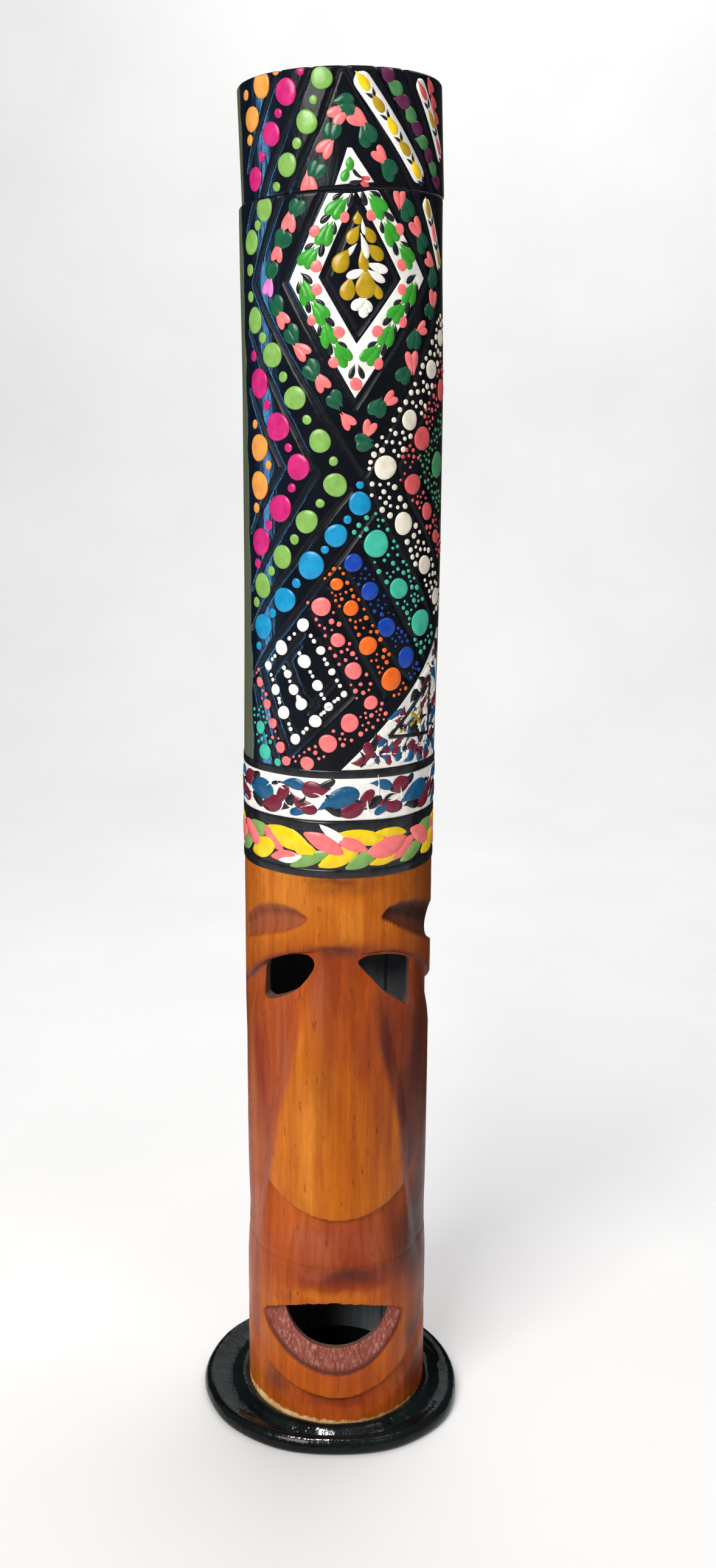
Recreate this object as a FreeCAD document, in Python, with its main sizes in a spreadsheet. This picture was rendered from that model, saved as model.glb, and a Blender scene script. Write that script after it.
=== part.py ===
# Bamboo rainstick with a carved mask: a tall culm on a round base, with a
# sound chamber above, an open carved face below, and a lift-off cap.
# Millimetres. The tube's axis is Z, the base stands on Z = 0 and the face
# looks along -Y, with +X on the viewer's right.
import FreeCAD, Part
import math
import os

import Sketcher

Vector = FreeCAD.Vector
Rotation = FreeCAD.Rotation
Placement = FreeCAD.Placement

doc = FreeCAD.newDocument("Rainstick")

# ---------------------------------------------------------------- sizes
driving_sizes = {
    # base
    "baseThickness": 6.5,
    "baseEdge": 3.5,
    "nailRadius": 1.0,
    "nailLength": 26.0,
    "nailHeadRadius": 2.4,
    "nailHeadThickness": 1.2,
    "nailHeadRecess": 0.4,
    # culm: the outside tapers from foot to rim, the bore is straight
    "footRadius": 44.1,
    "rimRadius": 42.7,
    "rimHeight": 610.0,
    "boreRadius": 37.0,
    "footChamfer": 2.5,
    # cap: sawn from the same culm, along a plane that is not quite level
    "seamHeight": 565.0,
    "seamTilt": 2.5,
    "seamGap": 0.3,
    "rimTilt": 1.15,
    "capShift": 1.0,
    "discThickness": 5.0,
    "discRecess": 3.0,
    "sleeveWall": 2.4,
    "sleeveDepth": 22.0,
    "sleeveClearance": 0.3,
    # sound chamber
    "floorHeight": 284.0,
    "floorThickness": 6.0,
    "bradRadius": 0.8,
    "bradLength": 12.0,
    "pegRadius": 1.25,
    "pegTipRadius": 12.0,
    "pegCover": 2.0,
    "pegFirstHeight": 316.0,
    "pegRise": 4.5,
    "seedRadius": 2.5,
    # carved face
    "holeDepth": 60.0,
}
pegs_per_turn = 12
peg_turns = 4
seed_layers = 2

sizes = doc.addObject("Spreadsheet::Sheet", "sizes")
for row, (name, value) in enumerate(driving_sizes.items(), start=1):
    sizes.set(f"A{row}", name)
    sizes.set(f"B{row}", str(value))
    sizes.setAlias(f"B{row}", name)
doc.recompute()


def size(name):
    """The value of one cell of the sheet."""
    return float(sizes.get(name))


def culm_radius(height):
    """Outer radius of the tapered culm at a height above the base's underside."""
    foot = size("baseThickness")
    share = (height - foot) / (size("rimHeight") - foot)
    return size("footRadius") + share * (size("rimRadius") - size("footRadius"))


def around(angle, radius, height=0.0):
    """A point at an angle from the front, positive towards +X."""
    turn = math.radians(angle)
    return Vector(radius * math.sin(turn), -radius * math.cos(turn), height)


# -------------------------------------------------------------- helpers
def bind(feature, **expressions):
    """Bind properties of a feature to expressions over the sheet."""
    for prop, expression in expressions.items():
        feature.setExpression(prop.replace("_", "."), expression)
    return feature


def cylinder(name, radius, height, place=None):
    feature = doc.addObject("Part::Cylinder", name)
    bind(feature, Radius=radius, Height=height)
    feature.Placement = place or Placement()
    return feature


def cut(name, base, *tools):
    """Base minus one tool, or minus several tools fused together."""
    feature = doc.addObject("Part::Cut", name)
    feature.Base = base
    feature.Tool = tools[0] if len(tools) == 1 else fuse(name + "_tools", *tools)
    return feature


def fuse(name, *pieces):
    feature = doc.addObject("Part::MultiFuse", name)
    feature.Shapes = list(pieces)
    return feature


def group(name, pieces):
    """Several separate solids in one node."""
    feature = doc.addObject("Part::Compound", name)
    feature.Links = list(pieces)
    return feature


def new_body(name):
    return doc.addObject("PartDesign::Body", name)


def new_sketch(body, name, plane, turn=0.0):
    """A sketch on one of the body's origin planes, turned about the vertical."""
    support = next(f for f in body.Origin.OriginFeatures if f.Role == plane)
    sketch = body.newObject("Sketcher::SketchObject", name)
    sketch.AttachmentSupport = [(support, "")]
    sketch.MapMode = "FlatFace"
    sketch.AttachmentOffset = Placement(Vector(), Rotation(Vector(0, 1, 0), turn))
    return sketch


def draw_polygon(sketch, corners):
    """A closed polygon whose corner coordinates are expressions."""
    points = [Vector(sketch.evalExpression(x), sketch.evalExpression(y), 0) for x, y in corners]
    count = len(points)
    for i in range(count):
        sketch.addGeometry(Part.LineSegment(points[i], points[(i + 1) % count]), False)
    for i in range(count):
        sketch.addConstraint(Sketcher.Constraint("Coincident", i, 2, (i + 1) % count, 1))
    for i, (x, y) in enumerate(corners):
        across = Sketcher.Constraint("DistanceX", -1, 1, i, 1, points[i].x)
        sketch.setExpression(f"Constraints[{sketch.addConstraint(across)}]", x)
        upward = Sketcher.Constraint("DistanceY", -1, 1, i, 1, points[i].y)
        sketch.setExpression(f"Constraints[{sketch.addConstraint(upward)}]", y)


def draw_spline(sketch, points):
    """A smooth closed outline through a few points."""
    outline = Part.BSplineCurve()
    outline.interpolate([Vector(x, y, 0) for x, y in points], PeriodicFlag=True)
    sketch.addGeometry(outline, False)


def draw_circle(sketch, radius):
    circle = Part.Circle(Vector(), Vector(0, 0, 1), sketch.evalExpression(radius))
    sketch.addGeometry(circle, False)
    sketch.addConstraint(Sketcher.Constraint("Coincident", 0, 3, -1, 1))
    limit = sketch.addConstraint(Sketcher.Constraint("Radius", 0, circle.Radius))
    sketch.setExpression(f"Constraints[{limit}]", radius)


def pad(body, sketch, length):
    feature = body.newObject("PartDesign::Pad", sketch.Name + "_pad")
    feature.Profile = sketch
    feature.setExpression("Length", length)
    return feature


def above_plane(name, height, tilt, side=1):
    """A slab above (or below, with side -1) a plane that rises towards +X."""
    reach = 160.0
    slab = doc.addObject("Part::Box", name)
    slab.Length = slab.Width = slab.Height = reach
    corner = Placement(Vector(-reach / 2, -reach / 2, min(0.0, side * reach)), Rotation())
    slab.Placement = Placement(Vector(0, 0, height), Rotation(Vector(0, 1, 0), -tilt)) * corner
    return slab


# ----------------------------------------------------------- base plate
# A hand-sawn disc: nearly round, flatter at the front, off the tube's axis.
# The outline is its reach from the tube's axis at steps of angle.
base_reach = (58.0, 60.5, 62.5, 60.8, 60.0, 60.8, 62.0, 64.0, 66.3, 67.0, 65.0, 61.0)
base_body = new_body("base_blank")
base_sketch = new_sketch(base_body, "base_outline", "XY_Plane")
base_points = []
for index, reach in enumerate(base_reach):
    corner = around(index * 360.0 / len(base_reach), reach)
    base_points.append((corner.x, corner.y))
draw_spline(base_sketch, base_points)
base_pad = pad(base_body, base_sketch, "sizes.baseThickness")
doc.recompute()
rounding = base_body.newObject("PartDesign::Fillet", "base_rounding")
top_edges = [
    f"Edge{i}"
    for i, edge in enumerate(base_pad.Shape.Edges, start=1)
    if edge.BoundBox.ZMin > size("baseThickness") - 0.1
]
rounding.Base = (base_pad, top_edges)
rounding.setExpression("Radius", "sizes.baseEdge")

# Nails driven up through the base into the wall of the culm.
nail_angles = (45, 135, 225, 315)
nail_reach = (size("boreRadius") + size("footRadius")) / 2
nails = []
for angle in nail_angles:
    spot = around(angle, nail_reach, size("nailHeadRecess"))
    shank = cylinder(f"nail_shank_{angle}", "sizes.nailRadius", "sizes.nailLength", Placement(spot, Rotation()))
    head = cylinder(
        f"nail_head_{angle}", "sizes.nailHeadRadius", "sizes.nailHeadThickness", Placement(spot, Rotation())
    )
    nails.append(fuse(f"nail_{angle}", shank, head))
base_nails = group("base_nails", nails)

nail_holes = []
for angle in nail_angles:
    sink = cylinder(
        f"nail_sink_{angle}",
        "sizes.nailHeadRadius",
        "sizes.nailHeadThickness + sizes.nailHeadRecess",
        Placement(around(angle, nail_reach), Rotation()),
    )
    nail_holes.append(sink)
base_plate = cut("base_plate", base_body, *nail_holes, base_nails)

# ---------------------------------------------------------- sound chamber
# Pegs stand in a rising helix and point at the axis, like spiral stairs.
# They are driven in from outside and sunk under the painted surface.
peg_groups = []
for turn in range(peg_turns):
    turn_pegs = []
    for step in range(pegs_per_turn):
        place = turn * pegs_per_turn + step
        angle = step * 360.0 / pegs_per_turn
        height = size("pegFirstHeight") + place * size("pegRise")
        inward = Rotation(Vector(0, 0, 1), around(angle, -1.0))
        peg = doc.addObject("Part::Cylinder", f"peg_{place + 1}")
        bind(peg, Radius="sizes.pegRadius")
        peg_outer = culm_radius(height) - size("pegCover")
        peg.Height = peg_outer - size("pegTipRadius")
        peg.Placement = Placement(around(angle, peg_outer, height), inward)
        turn_pegs.append(peg)
    peg_groups.append(group(f"rain_pegs_{turn + 1}", turn_pegs))

# Brads through the wall hold the chamber's floor.
brads = []
for angle in (30, 150, 270):
    height = size("floorHeight") + size("floorThickness") / 2
    start = around(angle, culm_radius(height) - size("pegCover"), height)
    inward = Rotation(Vector(0, 0, 1), around(angle, -1.0))
    brads.append(cylinder(f"brad_{angle}", "sizes.bradRadius", "sizes.bradLength", Placement(start, inward)))
floor_brads = group("floor_brads", brads)

floor_body = new_body("floor_blank")
floor_sketch = new_sketch(floor_body, "floor_outline", "XY_Plane")
draw_circle(floor_sketch, "sizes.boreRadius")
pad(floor_body, floor_sketch, "sizes.floorThickness")
bind(floor_body, Placement_Base_z="sizes.floorHeight")
chamber_floor = cut("chamber_floor", floor_body, floor_brads)

# Seeds lie on the floor in rings that pass between the pegs as they fall.
seed_rings = ((0.0, 1), (6.5, 6), (18.0, 12), (24.5, 12), (31.0, 24))
seeds = []
for layer in range(seed_layers):
    height = size("floorHeight") + size("floorThickness") + size("seedRadius") * (1 + 2.05 * layer)
    for reach, count in seed_rings:
        for index in range(count):
            seed = doc.addObject("Part::Sphere", f"seed_{len(seeds) + 1}")
            bind(seed, Radius="sizes.seedRadius")
            seed.Placement.Base = around((index + 0.5) * 360.0 / count, reach, height + 0.02)
            seeds.append(seed)
rain_seeds = group("rain_seeds", seeds)

# ------------------------------------------------------------------ culm
culm_body = new_body("culm_blank")
wall_sketch = new_sketch(culm_body, "culm_wall", "XZ_Plane")
draw_polygon(
    wall_sketch,
    (
        ("sizes.boreRadius", "sizes.baseThickness"),
        ("sizes.footRadius - sizes.footChamfer", "sizes.baseThickness"),
        ("sizes.footRadius", "sizes.baseThickness + sizes.footChamfer"),
        ("sizes.rimRadius", "sizes.rimHeight"),
        ("sizes.boreRadius", "sizes.rimHeight"),
    ),
)
wall = culm_body.newObject("PartDesign::Revolution", "culm_revolution")
wall.Profile = wall_sketch
wall.ReferenceAxis = (wall_sketch, ["V_Axis"])
wall.Angle = 360.0

# Holes of the mask: outlines as (angle from the front, height) on the wall,
# each cut straight through along the direction of its middle angle.
mask_holes = {
    "left_eye": (-22, ((-49, 223), (-48.5, 236), (-37.5, 242), (-18, 245), (-13.5, 240), (-26.5, 227), (-41, 221.5))),
    "right_eye": (14, ((11.5, 244.5), (32, 246), (48, 241.5), (51, 230), (49.5, 217), (36, 223.5), (21, 235))),
    "mouth": (-2, ((-34, 66), (-1.5, 72), (33, 66), (28.5, 55), (14, 48), (-2, 46), (-18, 48.5), (-29.5, 56))),
}
for name, (middle, outline) in mask_holes.items():
    hole_sketch = new_sketch(culm_body, name + "_outline", "XZ_Plane", middle)
    points = []
    for angle, height in outline:
        points.append((culm_radius(height) * math.sin(math.radians(angle - middle)), height))
    draw_spline(hole_sketch, points)
    hole = culm_body.newObject("PartDesign::Pocket", name + "_hole")
    hole.Profile = hole_sketch
    hole.Reversed = True
    hole.setExpression("Length", "sizes.holeDepth")

# Scooped hollows of the mask: an ellipsoid sunk into the wall for each.
# (angle, height, half width, half height, depth below the surface, tilt)
scoops = {
    "left_brow": (-48, 259.5, 24, 8.0, 2.4, 8),
    "right_brow": (56, 258, 27, 9.5, 2.9, -10),
    "left_socket": (-44, 231, 24, 12, 3.0, 16),
    "right_socket": (44, 231, 24, 13, 3.0, -16),
    "lower_lip": (-3, 54, 34, 15, 4.0, 0),
    "chin": (-5, 30, 36, 5.5, 1.8, 0),
    "left_cheek": (-64, 165, 17, 60, 2.0, -9),
    "right_cheek": (64, 165, 17, 60, 2.0, 9),
}
scoop_tools = []
for name, (angle, height, half_width, half_height, depth, tilt) in scoops.items():
    scoop = doc.addObject("Part::Ellipsoid", name + "_scoop")
    scoop_thickness = 12.0
    scoop.Radius1 = scoop_thickness
    scoop.Radius2 = half_width
    scoop.Radius3 = half_height
    # the ellipsoid's own Z faces out of the wall, its X runs round it
    outward = Rotation(Vector(0, 0, 1), angle) * Rotation(Vector(1, 0, 0), 90) * Rotation(Vector(0, 0, 1), tilt)
    scoop.Placement = Placement(around(angle, culm_radius(height) + scoop_thickness - depth, height), outward)
    scoop_tools.append(scoop)

culm = cut(
    "culm",
    culm_body,
    above_plane("above_seam", size("seamHeight"), size("seamTilt")),
    *scoop_tools,
    *peg_groups,
    floor_brads,
    base_nails,
)

# ------------------------------------------------------------------- cap
cap_outer = doc.addObject("Part::Cone", "cap_outer")
cap_from = size("seamHeight") - 10.0
cap_outer.Radius1 = culm_radius(cap_from)
bind(cap_outer, Radius2="sizes.rimRadius", Placement_Base_x="sizes.capShift")
cap_outer.Height = size("rimHeight") + 2.0 - cap_from
cap_outer.Placement.Base.z = cap_from
cap_bore = cylinder("cap_bore", "sizes.boreRadius", "sizes.rimHeight + 20")
cap_ring = cut(
    "cap_ring",
    cap_outer,
    cap_bore,
    above_plane("below_seam", size("seamHeight") + size("seamGap"), size("seamTilt"), -1),
    above_plane("above_rim", size("rimHeight"), size("rimTilt")),
)

sleeve_outer = cylinder(
    "sleeve_outer",
    "sizes.boreRadius - sizes.sleeveClearance",
    "sizes.rimHeight - sizes.discRecess - sizes.discThickness - sizes.seamHeight + sizes.sleeveDepth",
)
sleeve_inner = cylinder(
    "sleeve_inner", "sizes.boreRadius - sizes.sleeveClearance - sizes.sleeveWall", "sizes.rimHeight"
)
for feature in (sleeve_outer, sleeve_inner):
    bind(feature, Placement_Base_z="sizes.seamHeight - sizes.sleeveDepth")
cap_sleeve = cut("cap_sleeve", sleeve_outer, sleeve_inner)

disc_body = new_body("cap_disc")
disc_sketch = new_sketch(disc_body, "disc_outline", "XY_Plane")
draw_circle(disc_sketch, "sizes.boreRadius - 0.05")
pad(disc_body, disc_sketch, "sizes.discThickness")
bind(disc_body, Placement_Base_z="sizes.rimHeight - sizes.discRecess - sizes.discThickness")

# ---------------------------------------------------------------- output
doc.recompute()
nodes = [base_plate, base_nails, culm, chamber_floor, floor_brads, *peg_groups, rain_seeds]
nodes += [cap_ring, cap_sleeve, disc_body]
for feature in doc.Objects:
    if "Invalid" in feature.State or "Error" in feature.State:
        raise RuntimeError(f"{feature.Label} failed: {feature.State}")
for node in nodes:
    if node.Shape.isNull() or not node.Shape.isValid():
        raise RuntimeError(f"{node.Label} has no valid shape")

os.makedirs("parts", exist_ok=True)
for node in nodes:
    node.Shape.exportStep(f"parts/{node.Label}.step")
    print(f"{node.Label}: {len(node.Shape.Solids)} solid(s), {node.Shape.Volume:.0f} mm3")
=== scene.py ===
import math
import random

import bmesh
import bpy
import numpy as np
from mathutils import Matrix, Vector


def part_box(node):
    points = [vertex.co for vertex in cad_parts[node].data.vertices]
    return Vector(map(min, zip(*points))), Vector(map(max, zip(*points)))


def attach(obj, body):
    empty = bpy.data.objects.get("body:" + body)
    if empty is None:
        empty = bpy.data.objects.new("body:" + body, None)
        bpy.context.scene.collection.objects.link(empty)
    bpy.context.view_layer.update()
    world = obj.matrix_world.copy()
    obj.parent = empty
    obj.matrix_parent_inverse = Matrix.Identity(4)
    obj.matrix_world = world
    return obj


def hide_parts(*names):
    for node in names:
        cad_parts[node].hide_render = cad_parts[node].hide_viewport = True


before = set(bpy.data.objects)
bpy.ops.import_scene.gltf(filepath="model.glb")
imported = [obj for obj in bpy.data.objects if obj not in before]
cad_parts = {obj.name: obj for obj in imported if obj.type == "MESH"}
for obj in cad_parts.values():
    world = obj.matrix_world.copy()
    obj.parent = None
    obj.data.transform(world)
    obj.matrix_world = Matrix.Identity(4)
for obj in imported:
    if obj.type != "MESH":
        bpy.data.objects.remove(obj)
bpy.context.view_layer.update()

dice = random.Random(24)

# Layout is in degrees round the tube (0 at the front, positive to the right)
# and in millimetres above the underside of the base.
mm = 0.001
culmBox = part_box("culm")
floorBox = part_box("chamber_floor")
tube = {
    "foot": culmBox[0].z / mm,
    "footRadius": culmBox[1].x / mm,
    "rim": 610.0,
    "rimRadius": 42.7,
    "bore": floorBox[1].x / mm,
    "seam": 565.0,
    "seamSlope": math.tan(math.radians(2.5)),
    "rimSlope": math.tan(math.radians(1.15)),
    "seamGap": 0.3,
    "capShift": 0.9,
    "capLean": 1.7,
    "swell": 0.35,
    "bend": 1.2,
    "middleRadius": 43.0,
    "capLoss": 0.35,  # wood lost all round the cap
    "degree": 0.755,  # millimetres of wall in one degree
}


def smoothStep(low, high, value):
    t = np.clip((value - low) / (high - low), 0.0, 1.0)
    return t * t * (3 - 2 * t)


def wallRadius(height):
    # straight taper with a slight swell between the nodes of the chamber
    share = (height - tube["foot"]) / (tube["rim"] - tube["foot"])
    swell = tube["swell"] * smoothStep(290, 440, height) * (1 - smoothStep(470, 568, height))
    return tube["footRadius"] + share * (tube["rimRadius"] - tube["footRadius"]) + swell


def seamHeight(angle):
    return tube["seam"] + tube["seamSlope"] * tube["middleRadius"] * np.sin(np.radians(angle))


def rimHeight(angle):
    return tube["rim"] + tube["rimSlope"] * tube["middleRadius"] * np.sin(np.radians(angle))


def onWall(angle, height, lift=0.0, part="stick"):
    radius = wallRadius(height) + lift
    turn = np.radians(angle)
    # the culm bows a little to the right; the cap leans back over it
    shift = tube["bend"] * smoothStep(300, 420, height) * (1 - smoothStep(480, 566, height))
    if part == "cap":
        shift = tube["capShift"] - tube["capLean"] * (height - tube["seam"]) / (tube["rim"] - tube["seam"])
        radius = radius - tube["capLoss"]
    return np.stack([radius * np.sin(turn) + shift, -radius * np.cos(turn), height + 0 * turn], -1)


def easedLine(points, soften=5.0):
    # a function through a few (x, y) points with its corners eased
    xs, ys = zip(*points)
    nearFront = xs[0] > -130 and xs[-1] < 130
    fine = np.arange(-120.0, 120.5, 0.5) if nearFront else np.arange(xs[0], xs[-1] + 0.5, 0.5)
    raw = np.interp(fine, xs, ys)
    reach = int(soften / 0.5)
    kernel = np.hanning(2 * reach + 1)
    padded = np.pad(raw, reach, mode="edge")
    eased = np.convolve(padded, kernel / kernel.sum(), mode="valid")
    return lambda x: np.interp(x, fine, eased)


def ripple(x, y, seed=0):
    # smooth hand-made unevenness between -1 and 1
    a = np.sin(0.37 * x + 0.21 * y + seed) * np.cos(0.11 * x - 0.31 * y + 2.3 * seed)
    b = np.sin(0.93 * x - 0.57 * y + 1.7 * seed) * np.cos(0.71 * y + 0.4 * x + seed)
    return 0.65 * a + 0.35 * b


# materials


def tone(red, green, blue):
    # a paint swatch, 0 to 255, as the linear colour that a shader takes
    def linear(c):
        c /= 255.0
        return c / 12.92 if c <= 0.04045 else ((c + 0.055) / 1.055) ** 2.4

    return (linear(red), linear(green), linear(blue), 1.0)


class Recipe:
    # a material being put together from nodes
    def __init__(self, name):
        self.material = bpy.data.materials.new(name)
        self.material.use_nodes = True
        self.tree = self.material.node_tree
        self.shader = self.tree.nodes["Principled BSDF"]
        self.coords = self.tree.nodes.new("ShaderNodeTexCoord").outputs["Object"]

    def node(self, kind, inputs=None, **settings):
        made = self.tree.nodes.new(kind)
        for key, value in settings.items():
            setattr(made, key, value)
        for key, value in (inputs or {}).items():
            self.put(made.inputs[key], value)
        return made

    def put(self, socket, value):
        if isinstance(value, bpy.types.NodeSocket):
            self.tree.links.new(value, socket)
        else:
            socket.default_value = value

    def sums(self, operation, a, b=0.0):
        made = self.node("ShaderNodeMath", operation=operation)
        for socket, value in zip(made.inputs, (a, b)):
            self.put(socket, value)
        return made.outputs[0]

    def noise(self, scale, detail=3.0, stretch=(1, 1, 1), rough=0.5):
        spread = self.node("ShaderNodeMapping", {"Vector": self.coords, "Scale": stretch})
        made = self.node(
            "ShaderNodeTexNoise",
            {"Vector": spread.outputs[0], "Scale": scale, "Detail": detail, "Roughness": rough},
        )
        return made.outputs["Fac"]

    def ramp(self, value, low, high, toLow=0.0, toHigh=1.0):
        made = self.node(
            "ShaderNodeMapRange",
            {"Value": value, "From Min": low, "From Max": high, "To Min": toLow, "To Max": toHigh},
        )
        return made.outputs["Result"]

    def mix(self, share, a, b, blend="MIX"):
        made = self.node("ShaderNodeMix", data_type="RGBA", blend_type=blend)
        for key, value in ((0, share), (6, a), (7, b)):
            self.put(made.inputs[key], value)
        return made.outputs[2]

    def attribute(self, name, output="Color"):
        return self.node("ShaderNodeAttribute", attribute_name=name).outputs[output]

    def bump(self, height, strength, distance):
        made = self.node("ShaderNodeBump", {"Height": height, "Strength": strength, "Distance": distance})
        self.put(self.shader.inputs["Normal"], made.outputs[0])

    def finish(self, **sockets):
        for key, value in sockets.items():
            self.put(self.shader.inputs[key.replace("_", " ")], value)
        return self.material

    def angle(self):
        # degrees round the tube from the front
        split = self.node("ShaderNodeSeparateXYZ", {"Vector": self.coords})
        turn = self.sums("ARCTAN2", split.outputs["X"], self.sums("MULTIPLY", split.outputs["Y"], -1.0))
        return self.sums("MULTIPLY", turn, 180 / math.pi), split.outputs["Z"]


def enamel(name, swatch, gloss=0.22, streaks=0.08):
    # brushed or dotted enamel: a little pooling, a wet skin, faint dust
    r = Recipe(name)
    light = tuple(min(1.0, c * (1 + streaks) + 0.01) for c in swatch[:3]) + (1.0,)
    dark = tuple(c * (1 - 1.6 * streaks) for c in swatch[:3]) + (1.0,)
    body = r.mix(r.ramp(r.noise(230, 4), 0.35, 0.65), dark, light)
    r.bump(r.noise(520, 3), 0.3, 0.0002)
    rough = r.ramp(r.noise(340, 2), 0.3, 0.7, gloss * 0.75, gloss * 1.35)
    return r.finish(Base_Color=body, Roughness=rough, Specular_IOR_Level=0.4)


def groundPaint(name):
    # black ground on the carved front, bare bamboo round the back
    r = Recipe(name)
    turn, high = r.angle()
    wobble = r.ramp(r.noise(60, 3), 0.3, 0.7, -1.6, 1.6)
    leftEdge = r.ramp(high, 0.335, 0.565, -60.5, -73.0)
    rightEdge = 78.5
    intoLeft = r.sums("SUBTRACT", r.sums("ADD", turn, wobble), leftEdge)
    intoRight = r.sums("SUBTRACT", rightEdge, r.sums("ADD", turn, wobble))
    cover = r.ramp(r.sums("MINIMUM", intoLeft, intoRight), -0.5, 0.5)
    fibre = r.noise(900, 4, (1, 1, 0.018), 0.6)
    blotch = r.noise(28, 3, (1, 1, 0.35))
    bare = r.mix(r.ramp(fibre, 0.3, 0.7), tone(62, 60, 30), tone(88, 84, 46))
    bare = r.mix(r.ramp(blotch, 0.45, 0.75, 0, 0.55), bare, tone(84, 62, 32))
    black = r.mix(r.ramp(r.noise(150, 4), 0.35, 0.7), tone(2, 5, 12), tone(8, 13, 22))
    brush = r.noise(420, 3, (1, 1, 0.25))
    r.bump(r.mix(cover, fibre, brush), 0.5, 0.0004)
    rough = r.mix(cover, (0.5,) * 3 + (1,), (0.2,) * 3 + (1,))
    rough = r.mix(r.attribute("sunk", "Fac"), rough, (0.55,) * 3 + (1,))
    return r.finish(Base_Color=r.mix(cover, bare, black), Roughness=rough, Specular_IOR_Level=0.2)


def stainedAndShadedBamboo(name):
    # the mask: stain laid on in colours with painted shade worked in (cuts, hollows, right side), fibres
    # showing through the varnish
    r = Recipe(name)
    stainAndShade = r.attribute("stainAndShade")
    ragged = r.attribute("ragged", "Fac")
    fibre = r.noise(1000, 5, (1, 1, 0.13), 0.75)
    streak = r.noise(230, 5, (1, 1, 0.05), 0.62)
    cloud = r.noise(85, 5, (1, 1, 0.4), 0.65)
    fleck = r.noise(620, 2, (1, 1, 0.2))
    dark = r.mix(1.0, stainAndShade, (0.66, 0.5, 0.36, 1), "MULTIPLY")
    light = r.mix(1.0, stainAndShade, (1.22, 1.3, 1.42, 1), "MULTIPLY")
    body = r.mix(r.ramp(fibre, 0.42, 0.7, 0.0, 0.42), stainAndShade, dark)
    body = r.mix(r.ramp(streak, 0.5, 0.68, 0.0, 0.75), body, light)
    body = r.mix(r.ramp(streak, 0.5, 0.36, 0.0, 0.55), body, dark)
    body = r.mix(r.ramp(cloud, 0.5, 0.72, 0.0, 0.5), body, dark)
    body = r.mix(r.ramp(fleck, 0.66, 0.72, 0.0, 0.6), body, tone(96, 40, 14))
    rub = r.noise(760, 5, (1, 1, 0.35), 0.75)
    body = r.mix(r.sums("MULTIPLY", ragged, r.ramp(rub, 0.5, 0.7, 0, 0.75)), body, tone(214, 160, 146))
    r.bump(r.mix(ragged, fibre, rub), 0.6, 0.0006)
    rough = r.ramp(r.noise(90, 3), 0.3, 0.7, 0.26, 0.4)
    return r.finish(Base_Color=body, Roughness=rough, Specular_IOR_Level=0.12)


def plainWood(name, dark, light, scale=900, stretch=(1, 1, 0.03), rough=0.6, bump=0.0004):
    r = Recipe(name)
    fibre = r.noise(scale, 5, stretch, 0.6)
    body = r.mix(r.ramp(fibre, 0.32, 0.68), dark, light)
    body = r.mix(r.ramp(r.noise(scale / 14, 3), 0.5, 0.8, 0, 0.5), body, dark)
    r.bump(fibre, 0.5, bump)
    return r.finish(Base_Color=body, Roughness=r.ramp(fibre, 0.3, 0.7, rough - 0.08, rough + 0.1))


def boreSkin(name):
    # grey skin of the bore, its left half painted darker as shade
    r = Recipe(name)
    side = r.node("ShaderNodeSeparateXYZ", {"Vector": r.coords}).outputs["X"]
    fibre = r.noise(500, 5, (1, 1, 0.03), 0.6)
    pale = r.mix(r.ramp(fibre, 0.32, 0.68), tone(146, 152, 160), tone(172, 178, 184))
    shadedHalf = r.mix(r.ramp(fibre, 0.32, 0.68), tone(58, 60, 64), tone(84, 86, 90))
    r.bump(fibre, 0.5, 0.0004)
    return r.finish(Base_Color=r.mix(r.ramp(side, -0.004, 0.016), shadedHalf, pale), Roughness=0.7)


def baseLacquer(name):
    # poured black gloss, thin and brown where the edge has rubbed
    r = Recipe(name)
    edge = r.attribute("wear", "Fac")
    dull = r.noise(46, 4)
    body = r.mix(r.ramp(dull, 0.35, 0.7), tone(2, 4, 5), tone(8, 14, 15))
    worn = r.sums("MULTIPLY", edge, r.ramp(r.noise(120, 4), 0.5, 0.66))
    body = r.mix(worn, body, tone(44, 28, 16))
    r.bump(r.sums("ADD", r.noise(90, 3), r.sums("MULTIPLY", r.noise(700, 2), 0.16)), 0.55, 0.0014)
    rough = r.ramp(r.noise(75, 4), 0.35, 0.7, 0.08, 0.2)
    return r.finish(Base_Color=body, Roughness=rough, Specular_IOR_Level=0.22)


def nailSteel(name):
    r = Recipe(name)
    speck = r.noise(2500, 3)
    body = r.mix(r.ramp(speck, 0.4, 0.7), (0.42, 0.42, 0.43, 1), (0.62, 0.62, 0.63, 1))
    r.bump(speck, 0.3, 0.0001)
    return r.finish(Base_Color=body, Metallic=1.0, Roughness=r.ramp(speck, 0.3, 0.7, 0.28, 0.45))


swatches = {
    "Amber": (228, 152, 66),
    "Magenta": (196, 24, 112),
    "Lime": (126, 174, 82),
    "Cyan": (0, 140, 192),
    "Cream": (232, 224, 206),
    "CoralRed": (214, 84, 88),
    "PineGreen": (66, 140, 92),
    "Turquoise": (58, 184, 156),
    "Royal": (0, 62, 166),
    "Orange": (236, 104, 16),
    "Coral": (248, 118, 118),
    "White": (240, 238, 232),
    "DarkLeaf": (0, 82, 54),
    "BrightLeaf": (50, 156, 36),
    "Mustard": (178, 144, 2),
    "Yellow": (244, 204, 10),
    "Crimson": (112, 12, 44),
    "TealBlue": (0, 82, 124),
    "SoftLeaf": (122, 164, 84),
    "Black": (10, 12, 20),
    "Pink": (226, 124, 196),
    "Purple": (92, 22, 66),
    "DullLeaf": (70, 128, 74),
}
paints = {name: enamel("paint" + name, tone(*rgb)) for name, rgb in swatches.items()}
groundBlack = groundPaint("groundBlack")
maskStainAndShade = stainedAndShadedBamboo("maskStainAndShade")
insideBamboo = boreSkin("insideBamboo")
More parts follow.
